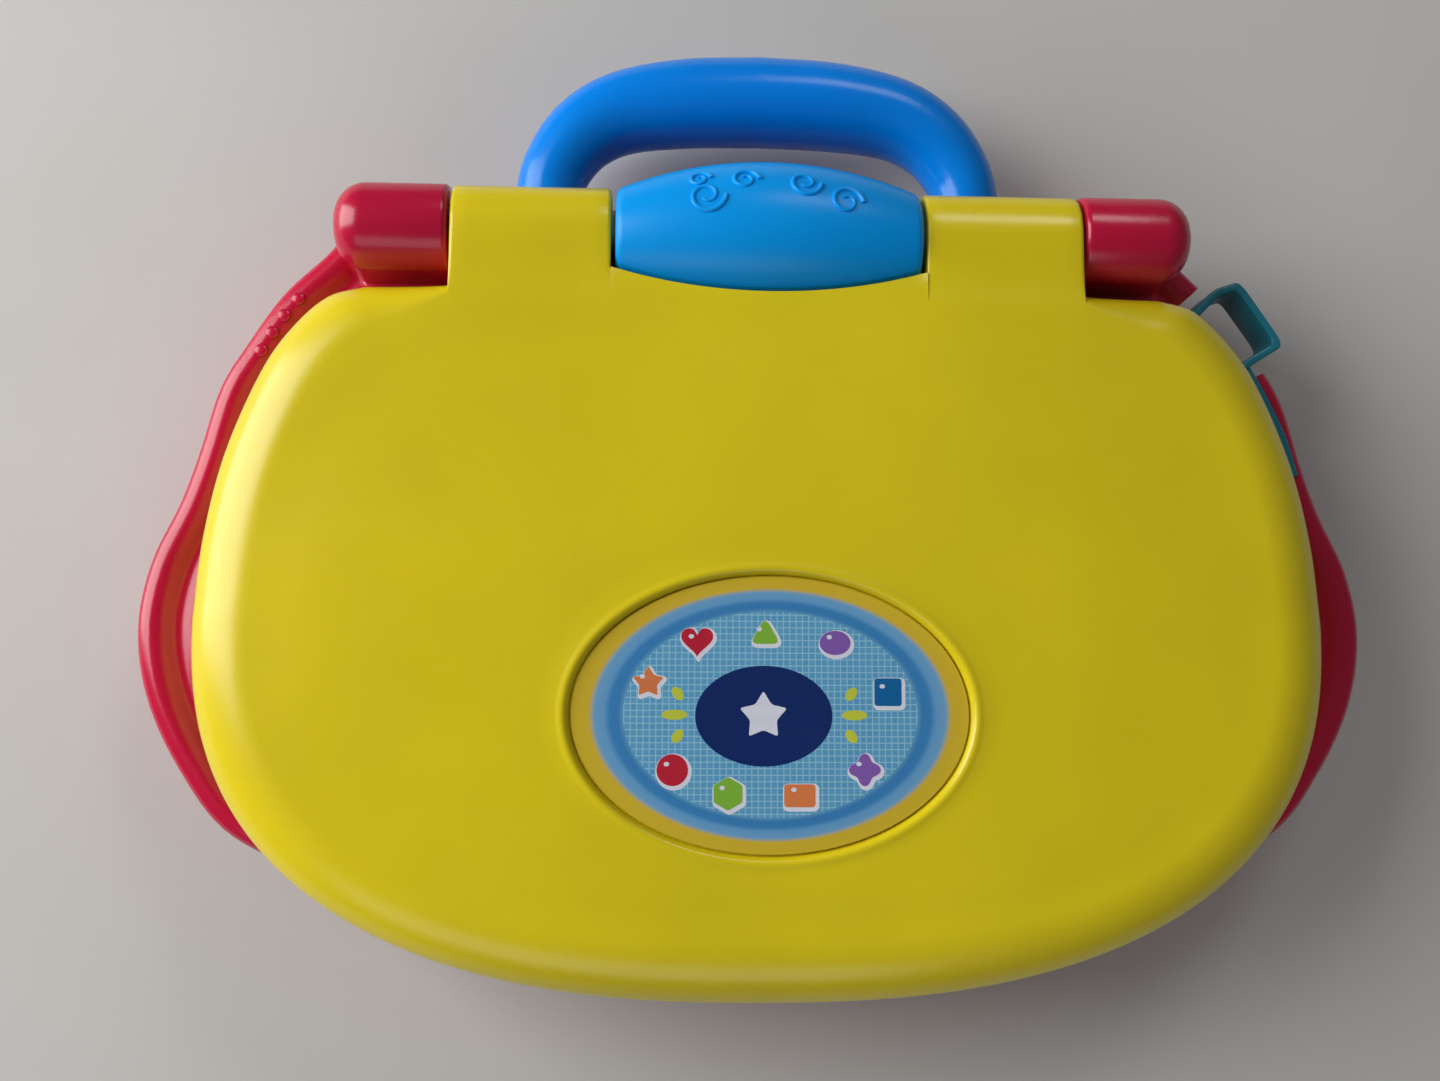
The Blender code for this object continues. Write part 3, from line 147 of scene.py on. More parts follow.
def smooth_line(points, steps=12):
    """Points along a smooth curve that passes through all the given points."""
    first = 2 * Vector(points[0]) - Vector(points[1])
    last = 2 * Vector(points[-1]) - Vector(points[-2])
    knots = [first, *(Vector(p) for p in points), last]
    line = []
    for a, b, c, d in zip(knots, knots[1:], knots[2:], knots[3:]):
        for step in range(steps):
            t = step / steps
            line.append(0.5 * (2 * b + (c - a) * t + (2 * a - 5 * b + 4 * c - d) * t * t
                               + (3 * b - a - 3 * c + d) * t ** 3))
    line.append(Vector(points[-1]))
    return line


def spaced(line, count):
    """The same open line with its points at equal distances."""
    lengths = [0.0]
    for a, b in zip(line, line[1:]):
        lengths.append(lengths[-1] + (b - a).length)
    made = []
    index = 0
    for step in range(count + 1):
        target = lengths[-1] * step / count
        while index < len(line) - 2 and lengths[index + 1] < target:
            index += 1
        span = max(lengths[index + 1] - lengths[index], 1e-9)
        made.append(line[index].lerp(line[index + 1], (target - lengths[index]) / span))
    return made


def front_curve(setback=0.0, to_angle=0.0, steps=160):
    """The squared oval of the front edge, from the middle of the front to one side."""
    power = 2.0 / FRONT_POWER
    line = []
    for step in range(steps + 1):
        angle = math.radians(90.0 + (to_angle - 90.0) * step / steps)
        x = (LID_HALF_WIDTH - setback) * max(math.cos(angle), 0.0) ** power
        y = LID_WIDEST_Y - (LID_FRONT_DEPTH - setback) * max(math.sin(angle), 0.0) ** power
        line.append(Vector((x, y)))
    return line


def both_sides(half):
    """A closed outline from its right half, which runs from the front to the rear."""
    left = [Vector((-p.x, p.y)) for p in reversed(half) if p.x > 0.01]
    return list(half) + left


def base_outline():
    """The base from above: it follows the lid in front and swells into two ear grips."""
    wide = BASE_HALF_WIDTH
    front = front_curve(1.0, 42.0)
    side = smooth_line([front[-1], (wide - 24.0, -81.0), (wide - 11.5, -66.0),
                        (wide - 3.0, -49.0), (wide, -32.0), (wide - 2.5, -16.0),
                        (wide - 8.7, -1.5), (wide - 12.7, 11.0), (wide - 17.0, 27.0),
                        (wide - 23.0, 38.0), (wide - 31.5, 51.0), (wide - 41.0, 60.5),
                        (wide - 47.0, BASE_REAR_Y - 3.0), (wide - 54.0, BASE_REAR_Y)])
    return both_sides(spaced(front + side[1:] + [Vector((0.0, BASE_REAR_Y))], 150))


def inset(outline, distance):
    """The outline moved in: squarely for the first few millimetres, then to its middle."""
    square = min(distance, 5.0)
    count = len(outline)
    middle = Vector((0.0, LID_WIDEST_Y + 10.0))
    moved = []
    for index, point in enumerate(outline):
        along = outline[(index + 2) % count] - outline[index - 2]
        shifted = point + Vector((-along.y, along.x)).normalized() * square
        inward = middle - shifted
        moved.append(shifted + inward.normalized() * (distance - square))
    return moved


def at_height(outline, z):
    """The outline's points at one height."""
    return [(p[0], p[1], z) for p in outline]


def show(name, mesh, at=(0.0, 0.0, 0.0)):
    """An object whose place, in millimetres, is in its mesh."""
    mesh.transform(Matrix.Translation(Vector(at) * MM))
    made = bpy.data.objects.new(name, mesh)
    bpy.context.scene.collection.objects.link(made)
    return made


def face_outwards(shape):
    """Turn every face of a closed shape to look outwards."""
    bmesh.ops.recalc_face_normals(shape, faces=shape.faces)
    if shape.calc_volume(signed=True) < 0.0:
        bmesh.ops.reverse_faces(shape, faces=shape.faces)


def shell_of_rings(name, rings, at=(0.0, 0.0, 0.0)):
    """A closed shell through rings of equal point count, capped at both ends."""
    shape = bmesh.new()
    loops = [[shape.verts.new(Vector(p) * MM) for p in ring] for ring in rings]
    for lower, upper in zip(loops, loops[1:]):
        for index in range(len(lower)):
            after = (index + 1) % len(lower)
            shape.faces.new((lower[index], lower[after], upper[after], upper[index]))
    shape.faces.new(loops[0])
    shape.faces.new(loops[-1])
    face_outwards(shape)
    mesh = bpy.data.meshes.new(name)
    shape.to_mesh(mesh)
    shape.free()
    return show(name, mesh, at)


def settle(piece):
    """Turn a piece's modifiers into plain mesh."""
    depsgraph = bpy.context.evaluated_depsgraph_get()
    mesh = bpy.data.meshes.new_from_object(piece.evaluated_get(depsgraph))
    piece.modifiers.clear()
    piece.data = mesh
    return piece


def carve(piece, operation, *tools):
    """Cut the tools out of a piece, or join them to it, and drop them."""
    for tool in tools:
        step = piece.modifiers.new(operation, "BOOLEAN")
        step.operation = operation
        step.solver = "EXACT"
        step.object = tool
    settle(piece)
    for tool in tools:
        bpy.data.objects.remove(tool)


def blocks(corners):
    """A tool of one box for each pair of opposite corners."""
    shape = bmesh.new()
    for low, high in corners:
        size = (Vector(high) - Vector(low)) * MM
        middle = (Vector(high) + Vector(low)) / 2 * MM
        matrix = Matrix.Translation(middle) @ Matrix.Diagonal((*size, 1.0))
        bmesh.ops.create_cube(shape, size=1.0, matrix=matrix)
    mesh = bpy.data.meshes.new("block_tool")
    shape.to_mesh(mesh)
    shape.free()
    return show("block_tool", mesh)


def rods(ends, sides=32):
    """A tool of one cylinder for each (start, end, radius)."""
    shape = bmesh.new()
    for start, end, radius in ends:
        line = (Vector(end) - Vector(start)) * MM
        turn = Vector((0.0, 0.0, 1.0)).rotation_difference(line).to_matrix().to_4x4()
        middle = (Vector(start) + Vector(end)) / 2 * MM
        bmesh.ops.create_cone(shape, cap_ends=True, segments=sides, radius1=radius * MM,
                              radius2=radius * MM, depth=line.length,
                              matrix=Matrix.Translation(middle) @ turn)
    mesh = bpy.data.meshes.new("rod_tool")
    shape.to_mesh(mesh)
    shape.free()
    return show("rod_tool", mesh)


def rounded_box(low_x, low_y, high_x, high_y, radius, steps=10):
    """A rectangle with round corners."""
    corners = (((high_x - radius, low_y + radius), -90.0),
               ((high_x - radius, high_y - radius), 0.0),
               ((low_x + radius, high_y - radius), 90.0),
               ((low_x + radius, low_y + radius), 180.0))
    outline = []
    for (x, y), start in corners:
        for step in range(steps + 1):
            angle = math.radians(start + 90.0 * step / steps)
            outline.append(Vector((x + radius * math.cos(angle), y + radius * math.sin(angle))))
    return outline


def slab(outline, low_z, high_z, at=(0.0, 0.0)):
    """A tool or piece of one outline between two heights."""
    return shell_of_rings("slab", [at_height(outline, low_z), at_height(outline, high_z)],
                          (*at, 0.0))


def fit(piece, material, body, slot, *nodes, sharp=32.0):
    """Give a finished piece its material, and hang it on the CAD body it belongs to."""
    piece.data.materials.clear()
    piece.data.materials.append(material)
    piece.data.polygons.foreach_set("material_index", [0] * len(piece.data.polygons))
    piece.data.shade_smooth()
    piece.data.set_sharp_from_angle(angle=math.radians(sharp))
    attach(piece, body)
    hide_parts(*nodes)


def bottom_rings(wall=0.0):
    """Levels of the bottom shell from the floor up to the parting line."""
    rings = []
    for step in range(11):
        angle = math.radians(9.0 * step)
        run = BOTTOM_EDGE_RUN * (1.0 - math.sin(angle)) + wall
        rise = BOTTOM_EDGE_RISE * (1.0 - math.cos(angle))
        rings.append(at_height(inset(BASE, run), SHELL_FLOOR_Z + wall + rise))
    rings.append(at_height(inset(BASE, wall), PARTING_Z))
    return rings


def loop_point(along, out):
    """A point by its distance along the corner's straight wall and out from the origin."""
    direction = Vector((0.831, 0.557))
    return direction * out + Vector((direction.y, -direction.x)) * along


def notch_outline(wall, margin):
    """The stepped-back corner from above: a straight wall with sides that open outwards."""
    rear = 17.0 - margin
    front = 41.0 + margin
    return [loop_point(rear, wall), loop_point(front, wall),
            loop_point(front + 6.0, wall + 40.0), loop_point(rear - 6.0, wall + 40.0)]


def step_back_corner(shell, outside_rings):
    """Step the right rear corner back to the straight wall that the loop stands on."""
    corner = shell_of_rings("corner", outside_rings)
    carve(corner, "INTERSECT", slab(notch_outline(LOOP_WALL - 3.5, 3.5), -5.0, 45.0))
    carve(shell, "UNION", corner)
    carve(shell, "DIFFERENCE", slab(notch_outline(LOOP_WALL, 0.0), -10.0, 50.0))


def handle_holes():
    """A tool with a rod where each root of the carry handle passes the rear wall."""
    return rods([((side * HANDLE_ROOT_X, 60.0, HANDLE_Z), (side * HANDLE_ROOT_X, 80.0, HANDLE_Z),
                  HANDLE_HOLE_RADIUS) for side in (-1, 1)], 48)


LOOP_WALL = 114.5
BASE = base_outline()
red_plastic = moulded_plastic("red_abs", RED, 0.22, glow=0.04)

tub = shell_of_rings("bottom_tub", bottom_rings() + bottom_rings(SHELL_WALL)[::-1])
step_back_corner(tub, bottom_rings())
low_y = BAY_Y - BAY_HALF_DEPTH
high_y = BAY_Y + BAY_HALF_DEPTH
bay_roof = SHELL_FLOOR_Z + 17.4
carve(tub, "UNION", blocks([((-BAY_HALF_LENGTH - BAY_WALL, low_y - BAY_WALL, SHELL_FLOOR_Z + 1.0),
                             (BAY_HALF_LENGTH + BAY_WALL, high_y + BAY_WALL,
                              bay_roof + BAY_WALL))]))
carve(tub, "UNION", blocks([((-BAY_HALF_LENGTH - 6.0, low_y - 6.0, SHELL_FLOOR_Z + 0.8),
                             (COVER_END_X + 3.0, high_y + 6.0, SHELL_FLOOR_Z + 4.2))]))
carve(tub, "UNION", rods([((x, y, SHELL_FLOOR_Z + 1.0), (x, y, 8.0), 5.2)
                          for x, y in BASE_SCREWS]))
carve(tub, "DIFFERENCE",
      slab(rounded_box(-BAY_HALF_LENGTH - 3.3, low_y - 3.3, COVER_END_X + 0.3, high_y + 3.3, 3.0),
           SHELL_FLOOR_Z - 2.0, SHELL_FLOOR_Z + 2.3))
carve(tub, "DIFFERENCE", blocks([((-BAY_HALF_LENGTH, low_y, -2.0),
                                  (BAY_HALF_LENGTH, high_y, bay_roof))]))
carve(tub, "DIFFERENCE",
      rods([((x, y, -2.0), (x, y, 5.6), 3.4) for x, y in BASE_SCREWS]
           + [((x, y, -2.0), (x, y, 2.1), 6.8) for x, y in FOOT_PLACES]
           + [((COVER_SCREW_X, BAY_Y, 0.0), (COVER_SCREW_X, BAY_Y, 6.0), 1.7)]))
carve(tub, "DIFFERENCE", handle_holes())
fit(tub, red_plastic, "base", "red_plastic", "base_bottom_shell")


# Batteries and their cover ------------------------------------------------------------
# Two AA cells lie side by side in the bay between sprung steel plates. A flat red cover
# with a grip of fine ribs closes the bay, held by one screw.
STEEL = (0.62, 0.62, 0.64)


def brushed_steel(name, colour, roughness=0.3):
    """Plain sheet steel with drawn lines and a little tarnish."""
    material = moulded_plastic(name, colour, roughness, 0.12)
    material.node_tree.nodes["Principled BSDF"].inputs["Metallic"].default_value = 1.0
    return material


def plate(name, outline, low_z, high_z, holes=(), edge=0.4, at=(0.0, 0.0)):
    """A flat moulded or printed sheet with softened edges and shaped holes."""
    curve = bpy.data.curves.new(name, "CURVE")
    curve.dimensions = "2D"
    curve.fill_mode = "BOTH"
    curve.extrude = ((high_z - low_z) / 2 - edge) * MM
    curve.bevel_depth = edge * MM
    curve.bevel_resolution = 2
    curve.offset = -edge * MM
    for line in (outline, *holes):
        spline = curve.splines.new("POLY")
        spline.points.add(len(line) - 1)
        for point, (x, y) in zip(spline.points, line):
            point.co = (x * MM, y * MM, 0.0, 1.0)
        spline.use_cyclic_u = True
    guide = bpy.data.objects.new(name, curve)
    bpy.context.scene.collection.objects.link(guide)
    depsgraph = bpy.context.evaluated_depsgraph_get()
    mesh = bpy.data.meshes.new_from_object(guide.evaluated_get(depsgraph))
    bpy.data.objects.remove(guide)
    shape = bmesh.new()
    shape.from_mesh(mesh)
    bmesh.ops.remove_doubles(shape, verts=shape.verts, dist=0.000002)
    face_outwards(shape)
    shape.to_mesh(mesh)
    shape.free()
    return show(name, mesh, (*at, (low_z + high_z) / 2))


def start_tree(name, **inputs):
    """A Geometry Nodes tree with named inputs, and its input node's outputs."""
    tree = bpy.data.node_groups.new(name, "GeometryNodeTree")
    for word, kind in (("Geometry", "Geometry"), *inputs.items()):
        tree.interface.new_socket(word, in_out="INPUT", socket_type="NodeSocket" + kind)
    tree.interface.new_socket("Geometry", in_out="OUTPUT", socket_type="NodeSocketGeometry")
    return tree, add_node(tree, "NodeGroupInput").outputs


def end_tree(tree, geometry, material):
    """Make a tree's copies real, give them their material, and put them out."""
    real = add_node(tree, "GeometryNodeRealizeInstances", Geometry=geometry)
    paint = add_node(tree, "GeometryNodeSetMaterial", {"Material": material},
                     Geometry=real.outputs["Geometry"])
    add_node(tree, "NodeGroupOutput", Geometry=paint.outputs["Geometry"])
    return tree


def line_tree(name, material):
    """Geometry Nodes: copies of a piece along a straight line, at a named spacing."""
    tree, given = start_tree(name, Count="Int", Spacing="Vector")
    row = add_node(tree, "GeometryNodeMeshLine", Count=given["Count"], Offset=given["Spacing"])
    place = add_node(tree, "GeometryNodeInstanceOnPoints", Points=row.outputs["Mesh"],
                     Instance=given["Geometry"])
    return end_tree(tree, place.outputs["Instances"], material)


def run_tree(piece, tree, **values):
    """Run a node tree on a piece and keep the result as plain mesh."""
    step = piece.modifiers.new(tree.name, "NODES")
    step.node_group = tree
    names = {item.name: item.identifier for item in tree.interface.items_tree
             if item.in_out == "INPUT"}
    for word, value in values.items():
        step[names[word.replace("_", " ")]] = value
    return settle(piece)


def join(piece, *others):
    """Put other pieces' meshes into this one, with their own materials."""
    shape = bmesh.new()
    materials = []
    for part in (piece, *others):
        start = len(shape.faces)
        shape.from_mesh(part.data)
        shape.faces.ensure_lookup_table()
        for face in shape.faces[start:]:
            own = part.data.materials[face.material_index] if part.data.materials else None
            if own not in materials:
                materials.append(own)
            face.material_index = materials.index(own)
    piece.data.materials.clear()
    for material in materials:
        piece.data.materials.append(material)
    shape.to_mesh(piece.data)
    shape.free()
    for other in others:
        bpy.data.objects.remove(other)
    return piece


def dress(slot, material, *names):
    """Give CAD nodes that keep their own shape a finished material."""
    for name in names:
        node = frame["nodes"][name]
        for held in node.material_slots:
            held.material = material


steel = brushed_steel("plated_steel", STEEL)
jacket = moulded_plastic("cell_jacket", (0.02, 0.03, 0.05), 0.35)
cover = plate("battery_door", rounded_box(-BAY_HALF_LENGTH - 3.0, low_y - 3.0, COVER_END_X,
                                          high_y + 3.0, 3.0),
              SHELL_FLOOR_Z, SHELL_FLOOR_Z + 2.0)
for top, radius in ((4.0, 1.7), (2.4, 3.2)):
    carve(cover, "DIFFERENCE", rods([((COVER_SCREW_X, BAY_Y, -1.0), (COVER_SCREW_X, BAY_Y, top),
                                      radius)]))
rib = plate("door_ribs", rounded_box(-0.7, -9.0, 0.7, 9.0, 0.69), SHELL_FLOOR_Z - 0.3,
            SHELL_FLOOR_Z + 0.5, edge=0.2, at=(-26.0, BAY_Y))
run_tree(rib, line_tree("door_rib_row", red_plastic), Count=5, Spacing=(0.003, 0.0, 0.0))
cover.data.materials.clear()
cover.data.materials.append(red_plastic)
join(cover, rib)
fit(cover, red_plastic, "base", "red_plastic", "battery_cover")
dress("battery_jacket", jacket, "battery_1", "battery_2")
dress("steel", steel, "battery_link", "battery_contact_plus", "battery_contact_minus")


# Board, membrane, speaker and switches ------------------------------------------------
# The main board carries two slide switches and lies under a grey silicone key membrane.
# The speaker sits beside it, behind the slots in the left of the deck.


def board_material(name):
    """Green solder mask with a faint net of copper tracks under it."""
    material = moulded_plastic(name, (0.02, 0.16, 0.06), 0.35)
    tree = material.node_tree
    place = add_node(tree, "ShaderNodeTexCoord")
    tracks = add_node(tree, "ShaderNodeTexBrick",
                      {"Scale": 160.0, "Mortar Size": 0.03, "Color1": (0.015, 0.14, 0.05, 1.0),
                       "Color2": (0.02, 0.18, 0.07, 1.0), "Mortar": (0.06, 0.32, 0.10, 1.0)},
                      Vector=place.outputs["Object"])
    feed(tree.nodes["Principled BSDF"], Base_Color=tracks.outputs["Color"])
    return material


board_green = board_material("solder_mask")
silicone = moulded_plastic("grey_silicone", (0.40, 0.40, 0.41), 0.6, 0.3)
dress("circuit_board", board_green, "main_board")
dress("silicone", silicone, "key_membrane")
dress("steel", steel, "speaker", "mode_switch", "power_switch")


# Deck ---------------------------------------------------------------------------------
# The red upper shell of the base: a rim with a rounded rib runs round it and swells into
# the ear grips. A saddle at the rear carries the two knuckles that hold the hinge pins.
DECK_Z = 28.5
RIM_Z = 30.5
SADDLE_FRONT_Y = 49.5
SADDLE_TOP_Z = 35.5
SADDLE_HALF_LENGTH = 98.0
KNUCKLE_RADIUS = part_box("base_top_shell")[1].y / MM - HINGE_Y
KNUCKLE_START_X = 75.0
KNUCKLE_END_X = 102.0
KNUCKLE_ROUND = 7.5
KNUCKLE_FILLET = 1.4
DRUM_HALF_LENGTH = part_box("hinge_drum")[1].x / MM
DRUM_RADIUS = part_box("hinge_drum")[1].y / MM - HINGE_Y
DRUM_END_RADIUS = 9.7
DRUM_FRONT_RADIUS = 12.8
DRUM_SWELL = 1.2
PANEL_HALF_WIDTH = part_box("key_panel")[1].x / MM
PANEL_FRONT_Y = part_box("key_panel")[0].y / MM
PANEL_REAR_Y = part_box("key_panel")[1].y / MM
SWITCH_Y = 22.0
POWER_SWITCH_X = 66.0
SPEAKER_X = -92.0
SPEAKER_Y = 24.0
SPEAKER_SLOT_PITCH = 4.4
SPEAKER_SLOT_REACH = 12.5
STRIP_POINTS = ((122.2, 35.4), (126.0, 28.4), (130.8, 17.5), (133.6, 7.5))
STUD_POINTS = ((-113.9, 49.0), (-117.2, 44.8), (-120.0, 40.4), (-122.4, 35.9))


def levels_along(points):
    """Rings of the base for a smooth run of (distance in, height) levels."""
    return [at_height(inset(BASE, level[0]), level[1]) for level in smooth_line(points, 4)]


def spun(name, profile, sides=64, flip=1):
    """A piece turned on the hinge line, from (radius, X) pairs."""
    rings = []
    for radius, x in profile:
        rings.append([(flip * x, HINGE_Y + radius * math.cos(2 * math.pi * i / sides),
                       HINGE_Z + radius * math.sin(2 * math.pi * i / sides))
                      for i in range(sides)])
    return shell_of_rings(name, rings)


def bowed(x, end_radius):
    """A radius along the hinge that swells in an arc to the drum's middle."""
    rise = DRUM_RADIUS - end_radius
    arc = (rise ** 2 + DRUM_HALF_LENGTH ** 2) / (2 * rise)
    return math.sqrt(arc ** 2 - min(abs(x), 37.0) ** 2) - arc + DRUM_RADIUS


def drum_radius(x, turn):
    """The drum's radius at a turn from straight back: it is fuller towards the lid."""
    share = (1.0 - math.cos(turn)) / 2.0
    front = bowed(x, DRUM_FRONT_RADIUS) + DRUM_SWELL * share
    return (1.0 - share) * bowed(x, DRUM_END_RADIUS) + share * front


def drum_shell(name, stations, sides=96):
    """The drum's skin through (X, growth) stations along the hinge."""
    rings = []
    for x, growth in stations:
        ring = []
        for index in range(sides):
            turn = 2 * math.pi * index / sides
            radius = drum_radius(x, turn) + growth
            ring.append((x, HINGE_Y + radius * math.cos(turn), HINGE_Z + radius * math.sin(turn)))
        rings.append(ring)
    return shell_of_rings(name, rings)


def strip_outline(extra=0.0):
    """The thin strip that runs forward from the corner loop along the rim."""
    line = smooth_line(STRIP_POINTS, 8)
    outer = []
    inner = []
    for index, point in enumerate(line):
        ahead = line[min(index + 1, len(line) - 1)] - line[max(index - 1, 0)]
        side = Vector((-ahead.y, ahead.x)).normalized() * (1.3 + extra)
        outer.append(point + side)
        inner.append(point - side)
    return outer + inner[::-1]


def point_tree(name, material):
    """Geometry Nodes: a piece on every point of a mesh, each with its own turn about Z."""
    tree, given = start_tree(name, Piece="Object", Turn="Float")
    piece = add_node(tree, "GeometryNodeObjectInfo", Object=given["Piece"])
    chance = tree.nodes.new("FunctionNodeRandomValue")
    chance.data_type = "FLOAT"
    chance.inputs["Seed"].default_value = 7
    tree.links.new(given["Turn"], chance.inputs[3])
    turn = add_node(tree, "ShaderNodeCombineXYZ", Z=chance.outputs[1])
    place = add_node(tree, "GeometryNodeInstanceOnPoints", Points=given["Geometry"],
                     Instance=piece.outputs["Geometry"], Rotation=turn.outputs["Vector"])
    return end_tree(tree, place.outputs["Instances"], material)


def on_points(name, pattern, points, material, turn=0.0):
    """One mesh with a copy of the pattern at each point, in millimetres."""
    mesh = bpy.data.meshes.new(name)
    mesh.from_pydata([Vector(p) * MM for p in points], [], [])
    made = show(name, mesh)
    run_tree(made, point_tree(name + "_tree", material), Piece=pattern, Turn=turn)
    bpy.data.objects.remove(pattern)
    return made


outer_levels = [(0.0, PARTING_Z + SEAM), (0.0, 21.0), (0.0, DECK_Z - 3.0), (1.2, RIM_Z - 1.4),
                (4.2, RIM_Z), (7.0, RIM_Z - 0.9), (10.0, DECK_Z - 0.7), (13.5, DECK_Z)]
inner_levels = [(14.5, DECK_Z - 2.4), (10.5, DECK_Z - 3.1), (5.0, RIM_Z - 2.9),
                (2.6, RIM_Z - 5.5), (SHELL_WALL, PARTING_Z + SEAM)]
deck = shell_of_rings("deck_shell", levels_along(outer_levels)[::-1]
                      + [at_height(inset(BASE, run), z) for run, z in inner_levels][::-1])
step_back_corner(deck, [at_height(inset(BASE, 2.0), PARTING_Z + SEAM),
                        at_height(inset(BASE, 2.0), DECK_Z - 1.0)])
carve(deck, "UNION", plate("saddle", rounded_box(-SADDLE_HALF_LENGTH, SADDLE_FRONT_Y,
                                                 SADDLE_HALF_LENGTH, BASE_REAR_Y - 0.2, 3.0),
                           DECK_Z - 4.0, SADDLE_TOP_Z, edge=1.2))
for side in (-1, 1):
    half = KNUCKLE_RADIUS - 0.1
    start = KNUCKLE_START_X + 0.4
    outer = [p for p in rounded_box(start, HINGE_Y - half, KNUCKLE_END_X - 1.5, HINGE_Y + half, 5.0)
             if p.x > start + 5.1]
    tower = [Vector((start, HINGE_Y - half)), *outer, Vector((start, HINGE_Y + half))]
    carve(deck, "UNION", slab([Vector((side * p.x, p.y)) for p in tower], DECK_Z - 6.0, HINGE_Z))
    rounding = [(KNUCKLE_RADIUS - KNUCKLE_ROUND + KNUCKLE_ROUND * math.cos(math.radians(a)),
                 KNUCKLE_END_X - KNUCKLE_ROUND + KNUCKLE_ROUND * math.sin(math.radians(a)))
                for a in range(90, -1, -9)]
    fillet = [(KNUCKLE_RADIUS - KNUCKLE_FILLET + KNUCKLE_FILLET * math.cos(math.radians(a)),
               KNUCKLE_START_X + KNUCKLE_FILLET - KNUCKLE_FILLET * math.sin(math.radians(a)))
              for a in range(0, 91, 18)]
    carve(deck, "UNION", spun("knuckle", rounding[1:] + fillet, flip=side))
carve(deck, "DIFFERENCE", blocks([((-SADDLE_HALF_LENGTH + 3.0, SADDLE_FRONT_Y + 2.5, 5.0),
                                   (SADDLE_HALF_LENGTH - 3.0, BASE_REAR_Y - 2.4,
                                    SADDLE_TOP_Z - 2.5))]))
seat_reach = DRUM_HALF_LENGTH + 0.3
carve(deck, "DIFFERENCE", drum_shell("drum_seat", [(seat_reach * (1.0 - step / 12), 0.3)
                                                   for step in range(25)]))
carve(deck, "DIFFERENCE", slab(rounded_box(-PANEL_HALF_WIDTH + 2.0, PANEL_FRONT_Y + 2.0,
                                           PANEL_HALF_WIDTH - 2.0, PANEL_REAR_Y - 2.0, 10.0),
                               DECK_Z - 8.0, DECK_Z + 4.0))
slots = [((x - reach, SWITCH_Y - 2.2, DECK_Z - 5.0), (x + reach, SWITCH_Y + 2.2, DECK_Z + 2.0))
         for x, reach in ((0.0, 11.5), (POWER_SWITCH_X, 8.5))]
for row in range(-2, 3):
    y = SPEAKER_Y + SPEAKER_SLOT_PITCH * row
    reach = math.sqrt(SPEAKER_SLOT_REACH ** 2 - (SPEAKER_SLOT_PITCH * row) ** 2)
    slots.append(((SPEAKER_X - reach, y - 1.1, DECK_Z - 5.0),
                  (SPEAKER_X + reach, y + 1.1, DECK_Z + 2.0)))
carve(deck, "DIFFERENCE", blocks(slots))
carve(deck, "DIFFERENCE", handle_holes())
carve(deck, "DIFFERENCE", slab(strip_outline(0.3), DECK_Z, 40.0))
stud = bmesh.new()
bmesh.ops.create_uvsphere(stud, u_segments=24, v_segments=12, radius=1.7 * MM,
                          matrix=Matrix.Diagonal((1.0, 1.0, 0.4, 1.0)))
stud_mesh = bpy.data.meshes.new("stud")
stud.to_mesh(stud_mesh)
stud.free()
studs = on_points("shoulder_studs", show("stud", stud_mesh),
                  [(x, y, RIM_Z - 0.15) for x, y in STUD_POINTS], red_plastic)
fit(deck, red_plastic, "base", "red_plastic", "base_top_shell")
fit(studs, red_plastic, "base", "red_plastic")


# Keys and their panel -----------------------------------------------------------------
# Nine shaped keys stand through holes in a sky-blue panel. Each is moulded with a flange
# that the panel holds down, a softened edge and a shallow finger dish.
KEY_RADIUS = 12.5
KEY_PITCH = 36.0
KEY_ROWS_Y = (-20.0, -58.0)
KEY_TOP_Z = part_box("key_circle")[1].z / MM
KEY_FLANGE_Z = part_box("key_circle")[0].z / MM
KEY_FLANGE_GROWTH = 1.13
KEY_FLANGE_THICKNESS = 1.4
KEY_EDGE_RADIUS = 1.2
SKY = (0.0, 0.34, 0.90)
GREEN = (0.16, 0.50, 0.04)
ORANGE = (0.85, 0.22, 0.02)
PURPLE = (0.24, 0.09, 0.42)
BLUE = (0.0, 0.23, 0.82)


def round_corners(tips, share=0.25, steps=4):
    """A polygon with each corner turned into a short curve."""
    points = []
    for index, tip in enumerate(tips):
        near = tip.lerp(tips[index - 1], share)
        far = tip.lerp(tips[(index + 1) % len(tips)], share)
        for step in range(steps + 1):
            t = step / steps
            points.append((1 - t) ** 2 * near + 2 * t * (1 - t) * tip + t ** 2 * far)
    return points


def ring_of(radius, sides, start=90.0):
    """The corners of a regular polygon."""
    return [Vector((radius * math.cos(math.radians(start + 360.0 * i / sides)),
                    radius * math.sin(math.radians(start + 360.0 * i / sides))))
            for i in range(sides)]


def star(radius):
    """A five-pointed star with blunt tips."""
    tips = [point * (1.04 if index % 2 == 0 else 0.58)
            for index, point in enumerate(ring_of(radius, 10))]
    return round_corners(tips, 0.2)


def heart(radius):
    """A plump heart."""
    points = []
    for degrees in (0, *range(36, 325, 9)):
        t = math.radians(degrees)
        x = -16.0 * math.sin(t) ** 3
        y = 13.0 * math.cos(t) - 5.0 * math.cos(2 * t) - 2.0 * math.cos(3 * t) - math.cos(4 * t)
        points.append(Vector((x, y + 2.0)) * (radius / 15.5))
    return points


def clover(radius):
    """A ring with four round lobes."""
    return [point * (0.86 + 0.17 * math.cos(4.0 * math.radians(6.0 * index)))
            for index, point in enumerate(ring_of(radius, 60))]


def oval(half_width, half_depth, sides=64):
    """An ellipse about the origin."""
    return [Vector((p.x * half_width, p.y * half_depth)) for p in ring_of(1.0, sides)]


